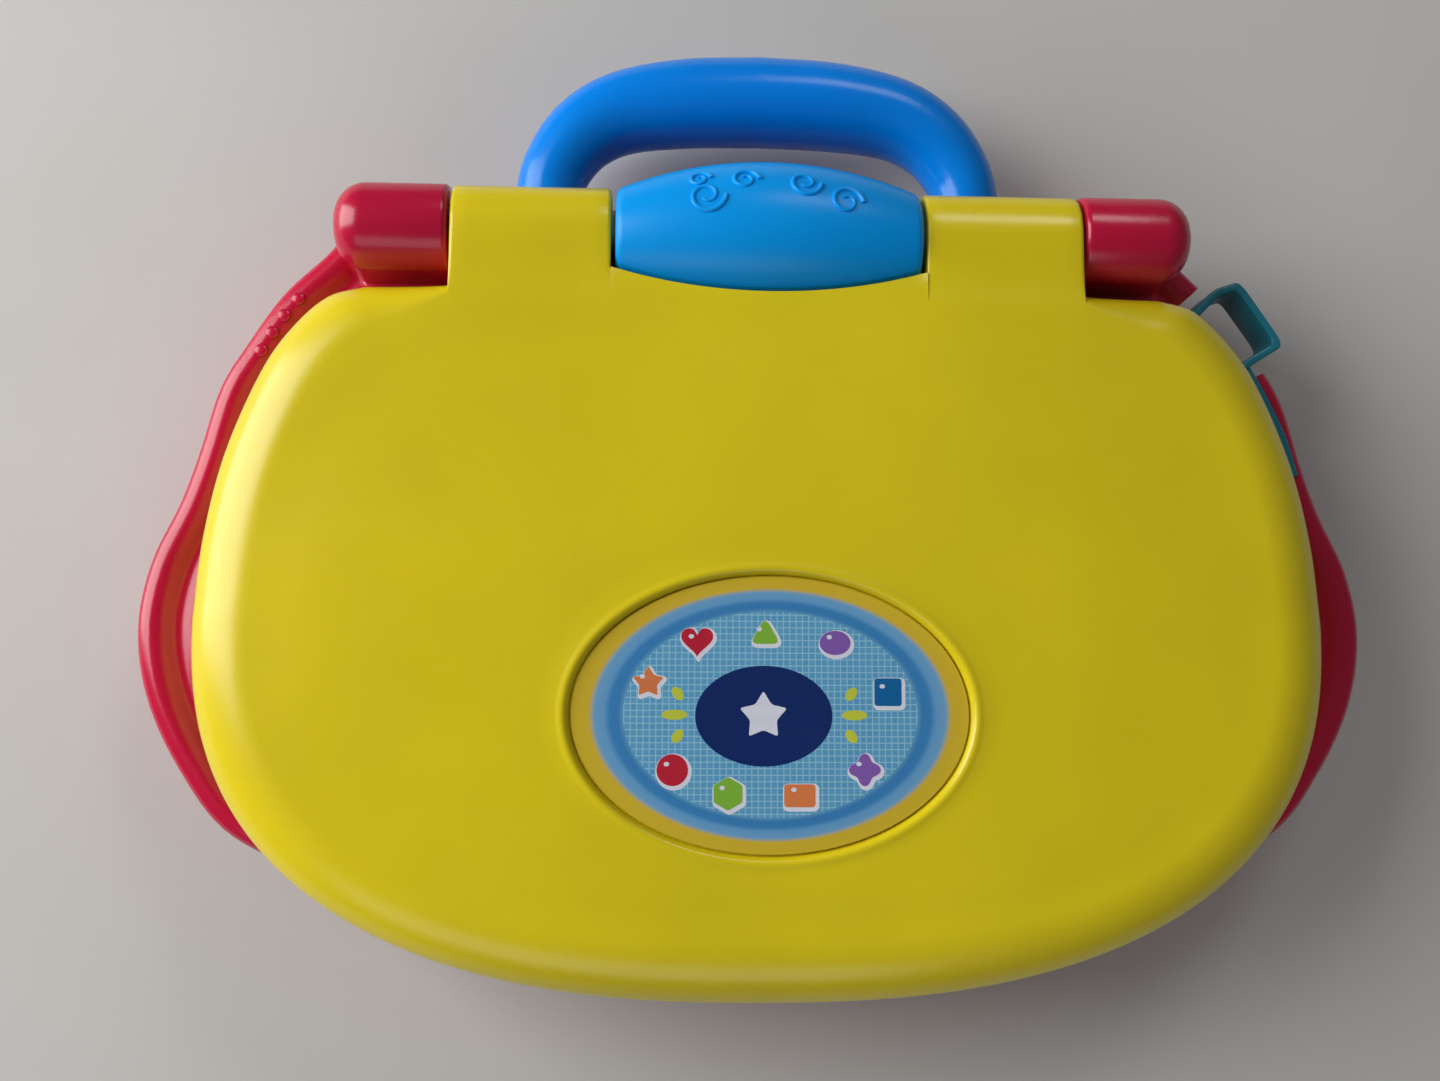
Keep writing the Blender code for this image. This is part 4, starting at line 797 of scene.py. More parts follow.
def key_shapes(radius):
    """Name, outline and colour of each shape, rear row first."""
    rear = (("star", star(radius), "orange"), ("heart", heart(radius), "red"),
            ("triangle", round_corners(ring_of(radius * 1.15, 3), 0.28), "green"),
            ("oval", oval(radius, radius * 0.78), "purple"),
            ("square", round_corners(ring_of(radius * 1.25, 4, 45.0), 0.12), "blue"))
    front = (("clover", clover(radius), "purple"),
             ("rectangle", rounded_box(-radius, -radius * 0.72, radius, radius * 0.72,
                                       radius * 0.2, 4), "orange"),
             ("hexagon", round_corners(ring_of(radius * 1.06, 6), 0.12), "green"),
             ("circle", oval(radius, radius), "red"))
    return rear, front


def grow(outline, distance):
    """An outline moved out by a distance, or in if it is negative."""
    count = len(outline)
    moved = []
    for index, point in enumerate(outline):
        ahead = outline[(index + 1) % count] - point
        behind = point - outline[index - 1]
        normal_a = Vector((ahead.y, -ahead.x)).normalized()
        normal_b = Vector((behind.y, -behind.x)).normalized()
        normal = (normal_a + normal_b).normalized()
        moved.append(point + normal * (distance / max(normal.dot(normal_a), 0.75)))
    return moved


key_colours = {"orange": moulded_plastic("orange_abs", ORANGE, glow=0.03),
               "red": red_plastic,
               "green": moulded_plastic("green_abs", GREEN, glow=0.03),
               "purple": moulded_plastic("purple_abs", PURPLE, glow=0.03),
               "blue": moulded_plastic("royal_blue_abs", BLUE, 0.2, glow=0.03, shine=0.3)}
sky_plastic = moulded_plastic("sky_blue_abs", SKY, 0.3, glow=0.04, shine=0.25)
key_holes = []
for row, y in zip(key_shapes(KEY_RADIUS), KEY_ROWS_Y):
    for index, (name, outline, colour) in enumerate(row):
        place = ((index - (len(row) - 1) / 2) * KEY_PITCH, y)
        wide = [p * KEY_FLANGE_GROWTH for p in outline]
        flange_top = KEY_FLANGE_Z + KEY_FLANGE_THICKNESS
        rings = [at_height(wide, KEY_FLANGE_Z), at_height(wide, flange_top),
                 at_height(outline, flange_top), at_height(outline, KEY_TOP_Z - KEY_EDGE_RADIUS)]
        for degrees in (18, 36, 54, 72, 90):
            turn = math.radians(degrees)
            rings.append(at_height(grow(outline, -KEY_EDGE_RADIUS * (1.0 - math.cos(turn))),
                                   KEY_TOP_Z - KEY_EDGE_RADIUS * (1.0 - math.sin(turn))))
        for share, drop in ((0.84, 0.05), (0.72, 0.3), (0.5, 0.5), (0.25, 0.58)):
            rings.append(at_height([p * share for p in outline], KEY_TOP_Z - drop))
        key = shell_of_rings("button_" + name, rings, (*place, 0.0))
        fit(key, key_colours[colour], name + "_button", colour + "_plastic", "key_" + name)
        hole = [p + Vector(place) for p in grow(outline, 0.5)]
        key_holes.append(hole[::-1])
panel = plate("button_panel", rounded_box(-PANEL_HALF_WIDTH, PANEL_FRONT_Y, PANEL_HALF_WIDTH,
                                          PANEL_REAR_Y, 12.0),
              DECK_Z + SEAM, DECK_Z + SEAM + 2.0, key_holes, 0.5)
fit(panel, sky_plastic, "base", "sky_blue_plastic", "key_panel")


# Switch knobs -------------------------------------------------------------------------
# Two small knobs slide in slots behind the keys: green picks the game and orange is the
# power switch. Each has three finger ridges, and a stem that reaches its switch.
KNOB_HALF_WIDTH = 7.5
KNOB_HALF_DEPTH = 5.0
for name, body, colour, x in (("mode_knob", "mode_slider", "green", 0.0),
                              ("power_knob", "power_slider", "orange", POWER_SWITCH_X)):
    low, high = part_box(name)
    top = high.z / MM
    knob = plate("slide_" + name, rounded_box(x - KNOB_HALF_WIDTH, SWITCH_Y - KNOB_HALF_DEPTH,
                                              x + KNOB_HALF_WIDTH, SWITCH_Y + KNOB_HALF_DEPTH,
                                              2.0), DECK_Z + SEAM, top - 0.6, edge=0.7)
    carve(knob, "UNION", blocks([((x - 3.0, SWITCH_Y - 1.7, low.z / MM),
                                  (x + 3.0, SWITCH_Y + 1.7, DECK_Z + 2.0))]))
    knob.data.materials.clear()
    knob.data.materials.append(key_colours[colour])
    ridge = plate("ridge", rounded_box(-0.6, -3.6, 0.6, 3.6, 0.59), top - 1.4, top, edge=0.4,
                  at=(x - 3.0, SWITCH_Y))
    run_tree(ridge, line_tree(name + "_ridges", key_colours[colour]), Count=3,
             Spacing=(0.003, 0.0, 0.0))
    join(knob, ridge)
    fit(knob, key_colours[colour], body, colour + "_plastic", name)


# Corner loop --------------------------------------------------------------------------
# A teal loop stands on the stepped-back corner, where the toy's mouse is hung up. It is a
# square ring with rounded edges, and its strip is let into the rim in front of it.
TEAL = (0.012, 0.22, 0.31)
LOOP_LOW_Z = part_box("corner_loop")[0].z / MM
LOOP_HIGH_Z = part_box("corner_loop")[1].z / MM
LOOP_THICKNESS = 2.0
teal_plastic = moulded_plastic("teal_abs", TEAL, 0.3, glow=0.04)
loop_corners = [loop_point(20.5, LOOP_WALL + SEAM), Vector((115.0, 55.3)), Vector((121.6, 57.5)),
                Vector((132.5, 41.0)), Vector((124.3, 36.0)), loop_point(40.0, LOOP_WALL + SEAM)]
loop_line = round_corners(loop_corners[::-1], 0.2, 5)
opening = round_corners(grow(loop_corners[::-1], -LOOP_THICKNESS), 0.2, 5)
loop = plate("mouse_loop", loop_line, LOOP_LOW_Z, LOOP_HIGH_Z, [opening[::-1]], 0.5)
strip = plate("loop_strip", strip_outline()[::-1], 28.8, 31.2, edge=0.4)
for part in (loop, strip):
    part.data.materials.clear()
    part.data.materials.append(teal_plastic)
join(loop, strip)
fit(loop, teal_plastic, "base", "teal_plastic", "corner_loop")


# Carry handle -------------------------------------------------------------------------
# A thick bowed tube in glossy royal blue, moulded in one piece and thickest at the grip.
# Its roots pass through the rear wall and are clamped between the two shells.
HANDLE_REACH_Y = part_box("carry_handle")[1].y / MM - 11.4


def tube_tree(name, material):
    """Geometry Nodes: a closed tube along a line, with the line's own thickness."""
    tree, given = start_tree(name, Sides="Int")
    thickness = tree.nodes.new("GeometryNodeInputNamedAttribute")
    thickness.data_type = "FLOAT"
    thickness.inputs["Name"].default_value = "thickness"
    line = add_node(tree, "GeometryNodeMeshToCurve", Mesh=given["Geometry"])
    ring = add_node(tree, "GeometryNodeCurvePrimitiveCircle", {"Radius": 1.0},
                    Resolution=given["Sides"])
    sweep = add_node(tree, "GeometryNodeCurveToMesh", {"Fill Caps": True},
                     Curve=line.outputs["Curve"], Scale=thickness.outputs["Attribute"],
                     Profile_Curve=ring.outputs["Curve"])
    return end_tree(tree, sweep.outputs["Mesh"], material)


def tubes(name, lines, tree, sides):
    """Tubes along lines of (x, y, z, radius) points, as one mesh."""
    points = []
    edges = []
    radii = []
    for line in lines:
        edges += [(len(points) + i, len(points) + i + 1) for i in range(len(line) - 1)]
        points += [Vector(p[:3]) * MM for p in line]
        radii += [p[3] * MM for p in line]
    mesh = bpy.data.meshes.new(name)
    mesh.from_pydata(points, edges, [])
    mesh.attributes.new("thickness", "FLOAT", "POINT").data.foreach_set("value", radii)
    made = run_tree(show(name, mesh), tree, Sides=sides)
    shape = bmesh.new()
    shape.from_mesh(made.data)
    bmesh.ops.remove_doubles(shape, verts=shape.verts, dist=0.000001)
    face_outwards(shape)
    shape.to_mesh(made.data)
    shape.free()
    return made


handle_half = [(HANDLE_ROOT_X, BASE_REAR_Y - 5.8, 8.5), (HANDLE_ROOT_X, 79.0, 8.5),
               (51.0, 88.0, 8.9), (44.5, 96.5, 9.7), (34.5, 102.0, 10.5), (19.0, 104.7, 11.2),
               (0.0, HANDLE_REACH_Y, 11.4)]
half_line = smooth_line(handle_half, 14)
handle_line = [(p.x, p.y, HANDLE_Z, p.z) for p in half_line]
handle_line += [(-p.x, p.y, HANDLE_Z, p.z) for p in reversed(half_line[:-1])]
handle_blue = key_colours["blue"]
handle = tubes("bowed_handle", [handle_line], tube_tree("handle_tube", handle_blue), 56)
fit(handle, handle_blue, "base", "blue_plastic", "carry_handle")


# Hinge --------------------------------------------------------------------------------
# A hollow sky-blue drum fixed to the base hides the wires to the lid. Sleeves at its ends
# and a steel pin in each knuckle carry the lid. Raised curls decorate its rear half.
CURLS = ((-16.6, 33.0, 2.7, -1), (-15.0, 14.0, 4.4, 1), (-6.2, 29.0, 3.4, -1),
         (7.6, 27.0, 3.9, 1), (17.2, 12.0, 4.0, -1))


def curl_line(x, degrees, size, way):
    """A spiral lying on the drum's skin, about a point at an angle behind the top."""
    line = []
    for step in range(46):
        turn = way * math.radians(11.0 * step)
        reach = size * (1.0 - 0.75 * step / 45.0)
        along = x + reach * math.cos(turn)
        lean = math.radians(90.0 - degrees)
        lean += reach * math.sin(turn) / drum_radius(along, lean)
        radius = drum_radius(along, lean)
        line.append((along, HINGE_Y + radius * math.cos(lean), HINGE_Z + radius * math.sin(lean),
                     0.62 - 0.2 * step / 45.0))
    return line


stations = [(DRUM_HALF_LENGTH, -3.0)]
for degrees in range(80, -1, -16):
    turn = math.radians(degrees)
    stations.append((DRUM_HALF_LENGTH - 1.5 + 1.5 * math.sin(turn), 1.5 * math.cos(turn) - 1.5))
stations += [(34.0 * (1.0 - step / 20), 0.0) for step in range(21)]
stations += [(-x, growth) for x, growth in reversed(stations[:-1])]
drum = drum_shell("wire_drum", stations)
drum.data.materials.append(sky_plastic)
curls = tubes("drum_curls", [curl_line(*curl) for curl in CURLS],
              tube_tree("curl_tube", sky_plastic), 10)
join(drum, curls)
fit(drum, sky_plastic, "base", "sky_blue_plastic", "hinge_drum")
white_plastic = moulded_plastic("white_acetal", (0.78, 0.78, 0.75), 0.35)
dress("white_plastic", white_plastic, "hinge_sleeve_left", "hinge_sleeve_right")
dress("steel", steel, "hinge_pin_left", "hinge_pin_right")


# Screws and feet ----------------------------------------------------------------------
# Pan-head screws with a cross recess come up from below into the bosses, each stopped at
# its own turn. Four black rubber feet are pressed into round recesses in the floor.


def pan_screw(low_z, head_height, tip_z):
    """A pan-head screw that points up, with a cross cut into its head."""
    profile = [(0.4, tip_z), (1.4, tip_z - 1.6), (1.4, low_z + head_height),
               (2.7, low_z + head_height), (2.9, low_z + head_height - 0.2),
               (2.9, low_z + 0.4), (2.6, low_z + 0.1), (2.0, low_z)]
    rings = [[(radius * math.cos(math.radians(15.0 * i)), radius * math.sin(math.radians(15.0 * i)),
               z) for i in range(24)] for radius, z in profile]
    screw = shell_of_rings("screw", rings)
    carve(screw, "DIFFERENCE", blocks([((-1.6, -0.35, low_z - 0.5), (1.6, 0.35, low_z + 0.6))]))
    carve(screw, "DIFFERENCE", blocks([((-0.35, -1.6, low_z - 0.5), (0.35, 1.6, low_z + 0.6))]))
    return screw


base_screw_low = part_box("base_screw_front_left")[0].z / MM
case_screws = on_points("case_screws", pan_screw(base_screw_low, 1.5, 19.0),
                        [(x, y, 0.0) for x, y in BASE_SCREWS], steel, math.pi)
fit(case_screws, steel, "base", "steel", "base_screw_front_left", "base_screw_front_right",
    "base_screw_rear_left", "base_screw_rear_right")
door_screw = pan_screw(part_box("battery_screw")[0].z / MM, 1.0, 9.0)
door_screw.name = "door_screw"
door_screw.data.transform(Matrix.Translation(Vector((COVER_SCREW_X, BAY_Y, 0.0)) * MM))
fit(door_screw, steel, "base", "steel", "battery_screw")
rubber = moulded_plastic("black_rubber", (0.025, 0.025, 0.026), 0.75, 0.5)
foot_profile = [(2.0, 0.35), (4.4, 0.35), (4.8, 0.0), (5.9, 0.0), (6.35, 0.18), (6.5, 0.6),
                (6.5, 1.8), (1.0, 1.8)]
foot = shell_of_rings("foot", [[(radius * math.cos(math.radians(10.0 * i)),
                                 radius * math.sin(math.radians(10.0 * i)), z)
                                for i in range(36)] for radius, z in foot_profile])
feet = on_points("rubber_feet", foot, [(x, y, 0.0) for x, y in FOOT_PLACES], rubber)
fit(feet, rubber, "base", "black_rubber", "foot_front_left", "foot_front_right",
    "foot_rear_left", "foot_rear_right")


# Lid cover ----------------------------------------------------------------------------
# The yellow lid is one glossy moulding: a crowned top that rounds over into its sides, two
# hinge barrels, a bow-shaped cut round the drum and an oval recess for the label.
LID_REAR_Y = 47.5
LID_HOLLOW_REAR_Y = 38.5
LID_WALL = 2.4
LID_SHOULDER_X = 95.0
LID_RIM_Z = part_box("lid_cover")[0].z / MM
EDGE_Z = 44.5
EDGE_RUN = 15.0
EDGE_RISE = 12.0
TOP_Z = EDGE_Z + EDGE_RISE
CROWN = 2.0
BARREL_START_X = 37.0
BARREL_END_X = 74.3
BARREL_RADIUS = 10.0
WEB_LOW_Z = HINGE_Z - 7.0
REAR_RUN_Y = 43.5
NOTCH_LIP_Y = 52.6
LIP_ROUND_Z = 55.0
DRUM_GAP = 1.1
EMBLEM_Y = -52.2
EMBLEM_HALF_WIDTH = 45.0
EMBLEM_HALF_DEPTH = 31.2
EMBLEM_FLOOR_Z = 56.2
YELLOW = (0.78, 0.62, 0.008)


def crown_z(x, y):
    """Height of the gently crowned top."""
    reach = (abs(x) / 116.5) ** FRONT_POWER + (abs(y - LID_WIDEST_Y) / 70.0) ** FRONT_POWER
    return TOP_Z + CROWN * max(0.0, 1.0 - reach ** (2.0 / FRONT_POWER))


def lower_wall():
    """(distance in, height) down the straight part of the side, lip first."""
    return [(0.9, LID_RIM_Z), (0.3, LID_RIM_Z + 0.25), (0.0, LID_RIM_Z + 0.9), (0.0, 35.0),
            (0.0, 37.5), (0.0, WEB_LOW_Z)]


def side_column(point, edge_end):
    """A column of the side: straight wall, then an elliptic rounding to the top."""
    inward = (edge_end - point).normalized()
    column = [(*(point + inward * run), z) for run, z in lower_wall()]
    column += [(point.x, point.y, WEB_LOW_Z + (EDGE_Z - WEB_LOW_Z) * step / 4)
               for step in range(1, 5)]
    for step in range(1, 23):
        turn = math.radians(90.0 * step / 22)
        plan = point.lerp(edge_end, 1.0 - math.cos(turn))
        column.append((plan.x, plan.y, EDGE_Z + EDGE_RISE * math.sin(turn)))
    return column


def barrel_column(x):
    """A column through a hinge barrel: wall, underside, round barrel and shallow valley."""
    from_end = min(BARREL_END_X - x, x - BARREL_START_X)
    drop = 1.0 - math.sqrt(1.0 - (1.0 - min(from_end, 1.0)) ** 2)
    radius = BARREL_RADIUS - drop
    column = [(x, LID_REAR_Y - run, z) for run, z in lower_wall()]
    start_y = HINGE_Y - math.sqrt(radius ** 2 - (HINGE_Z - WEB_LOW_Z) ** 2)
    column += [(x, LID_REAR_Y + (start_y - LID_REAR_Y) * step / 4, WEB_LOW_Z)
               for step in range(1, 5)]
    first = -180.0 + math.degrees(math.asin((HINGE_Z - WEB_LOW_Z) / radius))
    for step in range(1, 11):
        turn = math.radians(first + (90.0 - first) * step / 10)
        column.append((x, HINGE_Y + radius * math.cos(turn), HINGE_Z + radius * math.sin(turn)))
    valley = smooth_line([(HINGE_Y, 57.0), (58.5, 56.85), (55.0, 56.5), (51.5, 56.25),
                          (48.5, 56.2), (46.0, 56.3), (REAR_RUN_Y, TOP_Z)], 2)
    for level in valley[1:]:
        column.append((x, level.x, level.y - drop * max(0.0, level.x - 44.0)
                       / (HINGE_Y - 44.0)))
    return column


def notch_column(x):
    """A column beside the drum: a lip over the rear wall, cut by an arc round the drum."""
    points = [(LID_REAR_Y - run, z) for run, z in lower_wall()]
    points += [(LID_REAR_Y + (NOTCH_LIP_Y - LID_REAR_Y) * step / 4, WEB_LOW_Z)
               for step in range(1, 5)]
    points += [(NOTCH_LIP_Y, WEB_LOW_Z + (LIP_ROUND_Z - WEB_LOW_Z) * step / 6)
               for step in range(1, 7)]
    for step in range(1, 17):
        turn = math.radians(90.0 * step / 16)
        points.append((NOTCH_LIP_Y - (TOP_Z - LIP_ROUND_Z) * (1.0 - math.cos(turn)),
                       LIP_ROUND_Z + (TOP_Z - LIP_ROUND_Z) * math.sin(turn)))
    radius = bowed(x, DRUM_FRONT_RADIUS) + DRUM_SWELL + DRUM_GAP
    column = []
    for y, z in points:
        arc_y = HINGE_Y - math.sqrt(max(radius ** 2 - (z - HINGE_Z) ** 2, 0.0))
        column.append((x, soft_least(y, arc_y), z))
    return column


def soft_least(a, b, blend=1.2):
    """The smaller of two numbers, with a rounded corner where they cross."""
    h = max(blend - abs(a - b), 0.0) / blend
    return min(a, b) - h * h * blend / 4.0


def top_rows(column):
    """The rest of a column: over the crown to the oval recess, and down into it."""
    start = Vector(column[-1][:2])
    angle = math.atan2((start.y - EMBLEM_Y) / EMBLEM_HALF_DEPTH, start.x / EMBLEM_HALF_WIDTH)

    def oval_point(grown):
        return Vector(((EMBLEM_HALF_WIDTH + grown) * math.cos(angle),
                       EMBLEM_Y + (EMBLEM_HALF_DEPTH + grown) * math.sin(angle)))

    rows = []
    end = oval_point(3.4)
    for step in range(1, 17):
        plan = start.lerp(end, step / 16)
        ease = min(1.0, (plan - start).length / 12.0)
        ease = ease * ease * (3.0 - 2.0 * ease)
        rows.append((*plan, TOP_Z + (crown_z(*plan) - TOP_Z) * ease))
    edge_z = crown_z(*oval_point(2.0))
    for grown, rise in ((2.7, 0.12), (2.1, 0.3), (1.6, 0.32), (1.1, 0.15), (0.8, -0.15),
                        (0.45, -0.6)):
        rows.append((*oval_point(grown), edge_z + rise))
    rows.append((*oval_point(0.0), EMBLEM_FLOOR_Z))
    rows.append((*oval_point(-8.0), EMBLEM_FLOOR_Z))
    return rows


def inner_rows(point):
    """The hollow under a column, from the middle of its ceiling down to the rim."""
    plan = Vector((point.x, min(point.y, LID_HOLLOW_REAR_Y)))
    middle = Vector((0.0, LID_WIDEST_Y))
    rows = [(*(middle + (plan - middle) * share), TOP_Z - LID_WALL + lift)
            for share, lift in ((0.12, 1.2), (0.45, 0.9), (0.75, 0.3))]
    inward = (middle - plan).normalized()
    for run, z in ((12.0, TOP_Z - 3.0), (5.0, TOP_Z - 6.0), (1.2, EDGE_Z + 2.0), (0.0, EDGE_Z),
                   (0.0, 38.0), (0.0, LID_RIM_Z + 0.4)):
        rows.append((*(plan + inward * run), z))
    return rows


lid_side = smooth_line([(LID_HALF_WIDTH, LID_WIDEST_Y), (LID_HALF_WIDTH - 1.6, -12.0),
                        (LID_HALF_WIDTH - 5.7, 7.5), (LID_SHOULDER_X + 23.5, LID_REAR_Y - 21.0),
                        (LID_SHOULDER_X + 16.5, LID_REAR_Y - 10.0),
                        (LID_SHOULDER_X + 8.5, LID_REAR_Y - 2.5), (LID_SHOULDER_X, LID_REAR_Y)])
lid_half = spaced(front_curve() + lid_side[1:], 150)
LID = both_sides(lid_half + [Vector((x, LID_REAR_Y)) for x in range(92, -1, -4)])
lid_edge_end = inset(LID, EDGE_RUN)
lid_hollow = inset(LID, LID_WALL)
columns = []
for index in range(len(lid_half)):
    columns.append(inner_rows(lid_hollow[index]) + side_column(LID[index], lid_edge_end[index]))
shoulder_end = lid_edge_end[len(lid_half) - 1]
for step in range(1, 8):
    share = step / 7
    x = LID_SHOULDER_X + (BARREL_END_X - LID_SHOULDER_X) * share
    end = Vector((shoulder_end.x + (BARREL_END_X - shoulder_end.x) * share,
                  shoulder_end.y + (REAR_RUN_Y - shoulder_end.y) * share))
    columns.append(inner_rows(Vector((x, LID_HOLLOW_REAR_Y)))
                   + side_column(Vector((x, LID_REAR_Y)), end))
barrel_xs = [BARREL_END_X - back for back in (0.0, 0.06, 0.25, 0.6, 1.0)]
barrel_xs += [BARREL_END_X - 1.0 - (BARREL_END_X - BARREL_START_X - 2.0) * step / 11
              for step in range(1, 11)]
barrel_xs += [BARREL_START_X + on for on in (1.0, 0.6, 0.25, 0.06, 0.0)]
for x in barrel_xs:
    columns.append(inner_rows(Vector((x, LID_HOLLOW_REAR_Y))) + barrel_column(x))
for step in range(0, 21):
    x = BARREL_START_X * (1.0 - step / 20)
    columns.append(inner_rows(Vector((x, LID_HOLLOW_REAR_Y))) + notch_column(x))
columns = [column + top_rows(column) for column in columns]
mirrored = [[(-x, y, z) for x, y, z in column] for column in reversed(columns[1:-1])]
columns += mirrored
lid = shell_of_rings("lid_shell", [list(row) for row in zip(*columns)])
shape = bmesh.new()
shape.from_mesh(lid.data)
bmesh.ops.remove_doubles(shape, verts=shape.verts, dist=0.000002)
bmesh.ops.dissolve_degenerate(shape, dist=0.000001, edges=shape.edges)
face_outwards(shape)
shape.to_mesh(lid.data)
shape.free()
yellow_plastic = moulded_plastic("yellow_abs", YELLOW, 0.24, glow=0.06)
fit(lid, yellow_plastic, "lid", "yellow_plastic", "lid_cover")


# Screen side of the lid ---------------------------------------------------------------
# A sky-blue bezel closes the lid's hollow, held by four screws. Behind its window lie a
# printed picture, a white diffuser and the board with the lamps that light it.
BEZEL_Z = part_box("lid_bezel")[0].z / MM
BEZEL_THICKNESS = 2.4
SCREEN_Y = -30.0
SCREEN_HALF_WIDTH = 50.0
SCREEN_HALF_DEPTH = 31.0
LID_SCREWS = ((-98.0, -62.0), (98.0, -62.0), (-98.0, 18.0), (98.0, 18.0))


def clear_sheet(name):
    """Clear styrene with faint clouding and a moulded ripple."""
    material = moulded_plastic(name, (0.85, 0.9, 0.92), 0.1, 0.02)
    shader = material.node_tree.nodes["Principled BSDF"]
    shader.inputs["Transmission Weight"].default_value = 0.92
    shader.inputs["IOR"].default_value = 1.2
    return material


bezel_line = [Vector((p.x, min(p.y, 38.2))) for p in inset(LID, 2.7)]
screen_hole = rounded_box(-SCREEN_HALF_WIDTH, SCREEN_Y - SCREEN_HALF_DEPTH, SCREEN_HALF_WIDTH,
                          SCREEN_Y + SCREEN_HALF_DEPTH, 10.0)
screw_holes = [[p + Vector(place) for p in oval(3.2, 3.2, 24)][::-1] for place in LID_SCREWS]
bezel = plate("screen_bezel", bezel_line, BEZEL_Z, BEZEL_Z + BEZEL_THICKNESS,
              [screen_hole[::-1]] + screw_holes, 0.5)
fit(bezel, sky_plastic, "lid", "sky_blue_plastic", "lid_bezel")
lid_screws = on_points("bezel_screws", pan_screw(BEZEL_Z + 0.1, 1.3, 48.0),
                       [(x, y, 0.0) for x, y in LID_SCREWS], steel, math.pi)
fit(lid_screws, steel, "lid", "steel", "lid_screw_front_left", "lid_screw_front_right",
    "lid_screw_rear_left", "lid_screw_rear_right")
dress("clear_window", clear_sheet("clear_styrene"), "screen_window")
dress("white_plastic", white_plastic, "light_diffuser")
dress("circuit_board", board_green, "light_board")


# Label --------------------------------------------------------------------------------
# An oval printed label in the lid's recess: coloured rings round a fine grid, nine little
# shapes like the keys, and a white star on a plain dark oval in the middle, with yellow rays.
LABEL_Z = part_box("emblem_label")[1].z / MM
ICON_RADIUS = 3.5
ICON_PLACES = {"star": (-27.5, -45.2), "heart": (-16.6, -36.2), "triangle": (-1.3, -34.5),
               "oval": (14.5, -36.2), "square": (26.4, -47.2), "clover": (21.0, -64.5),
               "rectangle": (6.4, -70.2), "hexagon": (-9.6, -69.8), "circle": (-22.0, -64.6)}
INKS = {"orange": (0.70, 0.20, 0.06), "red": (0.52, 0.012, 0.035), "green": (0.21, 0.47, 0.04),
        "purple": (0.23, 0.10, 0.42), "blue": (0.0, 0.12, 0.34), "white": (0.72, 0.74, 0.85),
        "navy": (0.0, 0.018, 0.13), "spark": (0.55, 0.60, 0.05)}
GRID_REACH = 0.735
RING_COLOURS = ((GRID_REACH, (0.11, 0.33, 0.55)), (0.76, (0.04, 0.22, 0.50)),
                (0.80, (0.04, 0.23, 0.52)), (0.83, (0.13, 0.35, 0.62)),
                (0.875, (0.16, 0.38, 0.62)), (0.905, (0.66, 0.46, 0.03)))


def ring_print(name):
    """Print for the label: coloured oval rings round a pale grid of fine lines."""
    material = moulded_plastic(name, (0.1, 0.3, 0.6), 0.32, 0.08)
    tree = material.node_tree
    place = add_node(tree, "ShaderNodeTexCoord").outputs["Object"]
    centre = tree.nodes.new("ShaderNodeMapping")
    centre.vector_type = "POINT"
    feed(centre, {"Location": (0.0, -EMBLEM_Y / EMBLEM_HALF_DEPTH, 0.0),
                  "Scale": (1 / (EMBLEM_HALF_WIDTH * MM), 1 / (EMBLEM_HALF_DEPTH * MM), 0.0)},
         Vector=place)
    reach = tree.nodes.new("ShaderNodeVectorMath")
    reach.operation = "LENGTH"
    tree.links.new(centre.outputs["Vector"], reach.inputs[0])
    bands = add_node(tree, "ShaderNodeValToRGB", Fac=reach.outputs["Value"])
    for position, colour in RING_COLOURS:
        stop = bands.color_ramp.elements.new(position)
        stop.color = (*colour, 1.0)
    bands.color_ramp.elements[0].color = (0.13, 0.38, 0.60, 1.0)
    bands.color_ramp.elements[-1].color = (0.68, 0.48, 0.02, 1.0)
    grid = tree.nodes.new("ShaderNodeTexBrick")
    grid.offset = 0.0
    feed(grid, {"Scale": 700.0, "Mortar Size": 0.08, "Brick Width": 1.0, "Row Height": 1.0,
                "Color1": (0.10, 0.34, 0.58, 1.0), "Color2": (0.12, 0.37, 0.60, 1.0),
                "Mortar": (0.30, 0.58, 0.72, 1.0)}, Vector=place)
    inside = tree.nodes.new("ShaderNodeMath")
    inside.operation = "LESS_THAN"
    inside.inputs[1].default_value = GRID_REACH
    tree.links.new(reach.outputs["Value"], inside.inputs[0])
    both = tree.nodes.new("ShaderNodeMix")
    both.data_type = "RGBA"
    feed(both, Factor=inside.outputs["Value"], A=bands.outputs["Color"],
         B=grid.outputs["Color"])
    feed(tree.nodes["Principled BSDF"], Base_Color=both.outputs["Result"])
    return material


def printed(outline, level, material, at):
    """A thin printed shape, level steps above the label's face."""
    made = slab(outline, LABEL_Z - 0.02, LABEL_Z + 0.02 * level, at)
    made.data.materials.append(material)
    return made


inks = {word: moulded_plastic(word + "_ink", colour, 0.32, 0.06) for word, colour in INKS.items()}
label = slab(oval(EMBLEM_HALF_WIDTH - SEAM, EMBLEM_HALF_DEPTH - SEAM, 96),
             EMBLEM_FLOOR_Z + SEAM, LABEL_Z, (0.0, EMBLEM_Y))
label.name = "emblem_print"
label.data.materials.append(ring_print("label_rings"))
shapes = []
for row in key_shapes(ICON_RADIUS):
    for name, outline, colour in row:
        x, y = ICON_PLACES[name]
        shapes.append(printed(grow(outline, 0.55), 1, inks["white"], (x + 0.3, y - 0.4)))
        shapes.append(printed(outline, 2, inks[colour], (x, y)))
        # The small white dot at the upper left of each shape is a painted highlight, standing in
        # for a glint on the raised print.
        shapes.append(printed(oval(0.6, 0.5, 16), 3, inks["white"], (x - 1.3, y + 1.3)))
shapes.append(printed(oval(15.4, 11.2, 64), 1, inks["navy"], (-1.6, -52.6)))
shapes.append(printed(star(5.4), 2, inks["white"], (-1.7, -52.6)))
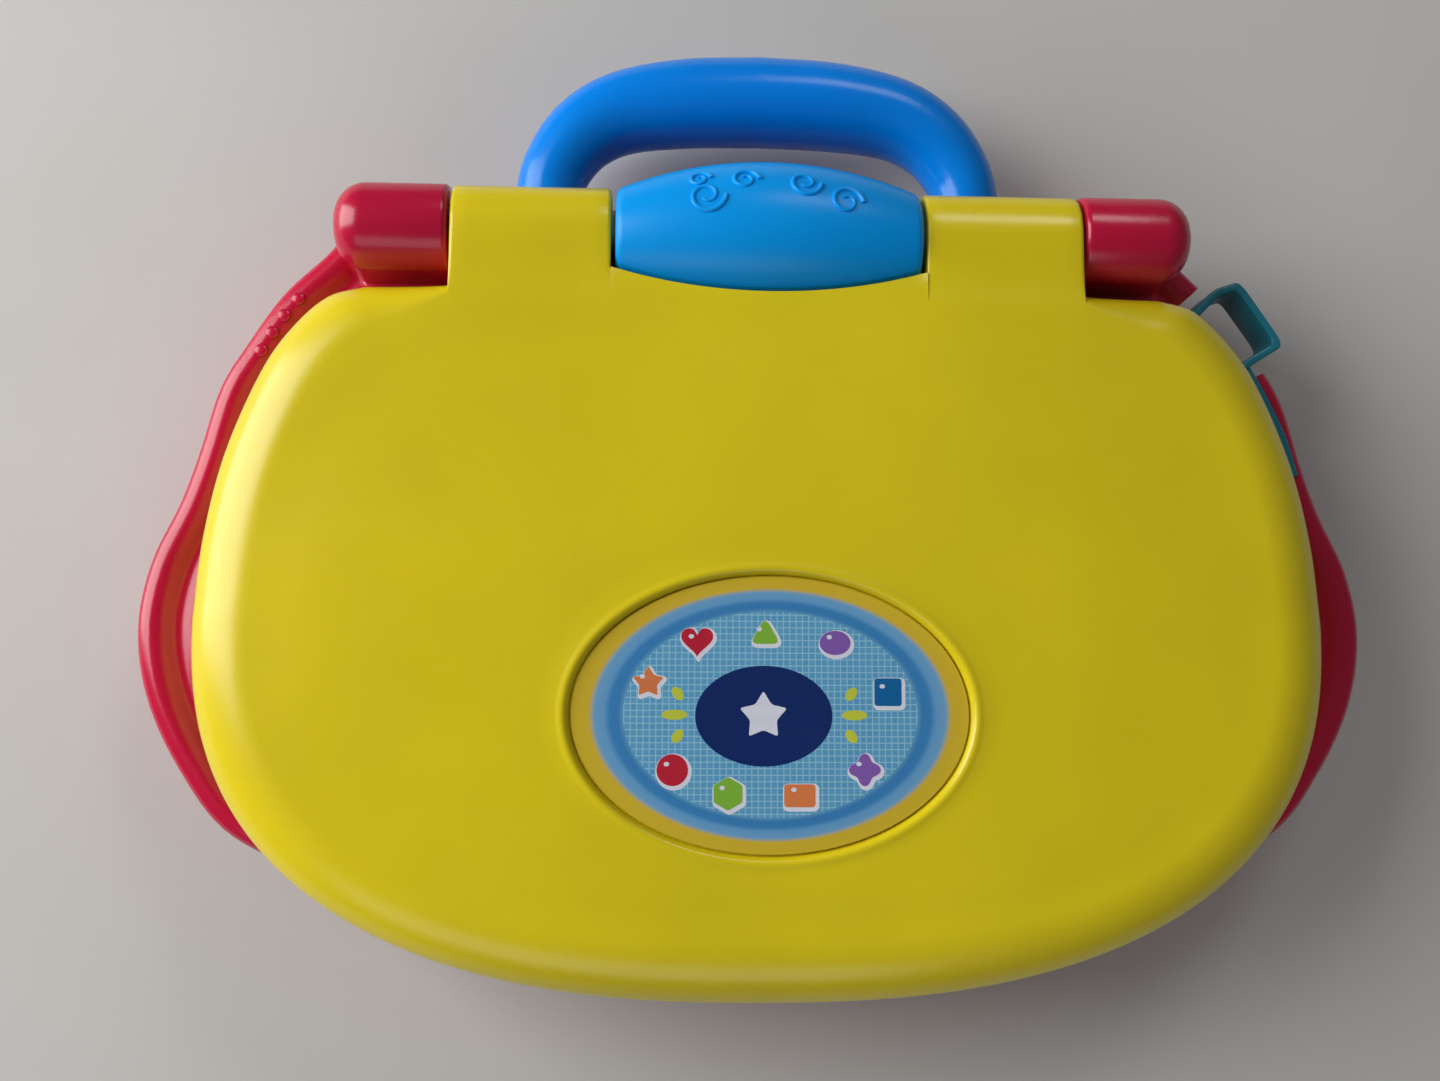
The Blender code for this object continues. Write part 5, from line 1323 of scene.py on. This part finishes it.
for side, middle_x in ((-1, -17.8), (1, 15.0)):
    for degrees, reach, length in ((-52.0, 6.0, 1.7), (0.0, 4.4, 2.9), (52.0, 6.0, 1.7)):
        turn = math.radians(degrees)
        petal = [Vector((p.x * math.cos(turn) - p.y * math.sin(turn),
                         p.x * math.sin(turn) + p.y * math.cos(turn)))
                 for p in oval(length, 1.15, 20)]
        spot = (middle_x + side * (reach * math.cos(turn) - 0.6), -52.4 + reach * math.sin(turn))
        if side < 0:
            petal = [Vector((-p.x, p.y)) for p in reversed(petal)]
        shapes.append(printed(petal, 1, inks["spark"], spot))
join(label, *shapes)
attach(label, "lid")
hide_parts("emblem_label")


# Picture behind the window ------------------------------------------------------------
# The lit picture is a white printed sheet with the nine key shapes in two rows, the right
# way up when the lid is open.
low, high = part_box("screen_picture")
picture = plate("screen_print", rounded_box(low.x / MM, low.y / MM, high.x / MM, high.y / MM, 10.0),
                low.z / MM, high.z / MM, edge=0.1)
picture.data.materials.clear()
picture.data.materials.append(inks["white"])
tiles = []
for row, y in zip(key_shapes(6.0), (-42.0, -18.0)):
    for index, (name, outline, colour) in enumerate(row):
        upright = [Vector((p.x, -p.y)) for p in reversed(outline)]
        tile = slab(upright, low.z / MM - 0.06, low.z / MM + 0.1,
                    ((index - (len(row) - 1) / 2) * 18.0, y))
        tile.data.materials.append(inks[colour])
        tiles.append(tile)
join(picture, *tiles)
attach(picture, "lid")
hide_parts("screen_picture")


# Floor, light and camera --------------------------------------------------------------
# A plain pale floor, with a window-like soft light from the left, and weaker ones from
# behind and in front.


def pale_floor(name):
    """Plain pale paper with a breath of mottling."""
    material = moulded_plastic(name, (0.60, 0.585, 0.56), 0.7, 0.05)
    shade = material.node_tree.nodes["Color Ramp"]
    shade.color_ramp.elements[0].color = (0.59, 0.575, 0.55, 1.0)
    shade.color_ramp.elements[1].color = (0.61, 0.595, 0.57, 1.0)
    return material


floor = bpy.data.meshes.new("floor")
floor.from_pydata([(-3.0, -3.0, 0.0), (3.0, -3.0, 0.0), (3.0, 3.0, 0.0), (-3.0, 3.0, 0.0)], [],
                  [(0, 1, 2, 3)])
floor = show("floor", floor)
floor.data.materials.append(pale_floor("floor_paper"))


def soft_light(name, place, target, width, height, power):
    """A rectangular soft light that faces a point."""
    lamp = bpy.data.lights.new(name, "AREA")
    lamp.shape = "RECTANGLE"
    lamp.size = width
    lamp.size_y = height
    lamp.energy = power
    holder = bpy.data.objects.new(name, lamp)
    holder.location = place
    aim = Vector(target) - Vector(place)
    holder.rotation_euler = aim.to_track_quat("-Z", "Y").to_euler()
    bpy.context.scene.collection.objects.link(holder)


soft_light("left_window", (-1.0, 0.3, 0.52), (0.0, 0.0, 0.03), 0.75, 1.2, 17.0)
soft_light("rear_window", (0.35, 1.0, 1.0), (0.0, 0.0, 0.03), 0.45, 0.35, 2.5)
soft_light("front_fill", (-0.3, -1.3, 0.9), (0.0, 0.0, 0.0), 1.4, 0.7, 3.8)
sky = bpy.data.worlds.new("soft_room")
sky.use_nodes = True
sky.node_tree.nodes["Background"].inputs["Color"].default_value = (0.85, 0.88, 0.92, 1.0)
sky.node_tree.nodes["Background"].inputs["Strength"].default_value = 0.12
bpy.context.scene.world = sky
bpy.context.scene.view_settings.view_transform = "Standard"

camera_data = bpy.data.cameras.new("camera")
camera_data.lens = 37.5
camera_data.sensor_width = 36.0
camera = bpy.data.objects.new("camera", camera_data)
view_matrix = Matrix(((0.9986, -0.0093, -0.0523), (0.0029, 0.9924, -0.1227),
                      (0.053, 0.1224, 0.9911))).to_4x4()
camera.matrix_world = Matrix.Translation((-0.029289, -0.054850, 0.393693)) @ view_matrix
bpy.context.scene.collection.objects.link(camera)
bpy.context.scene.camera = camera
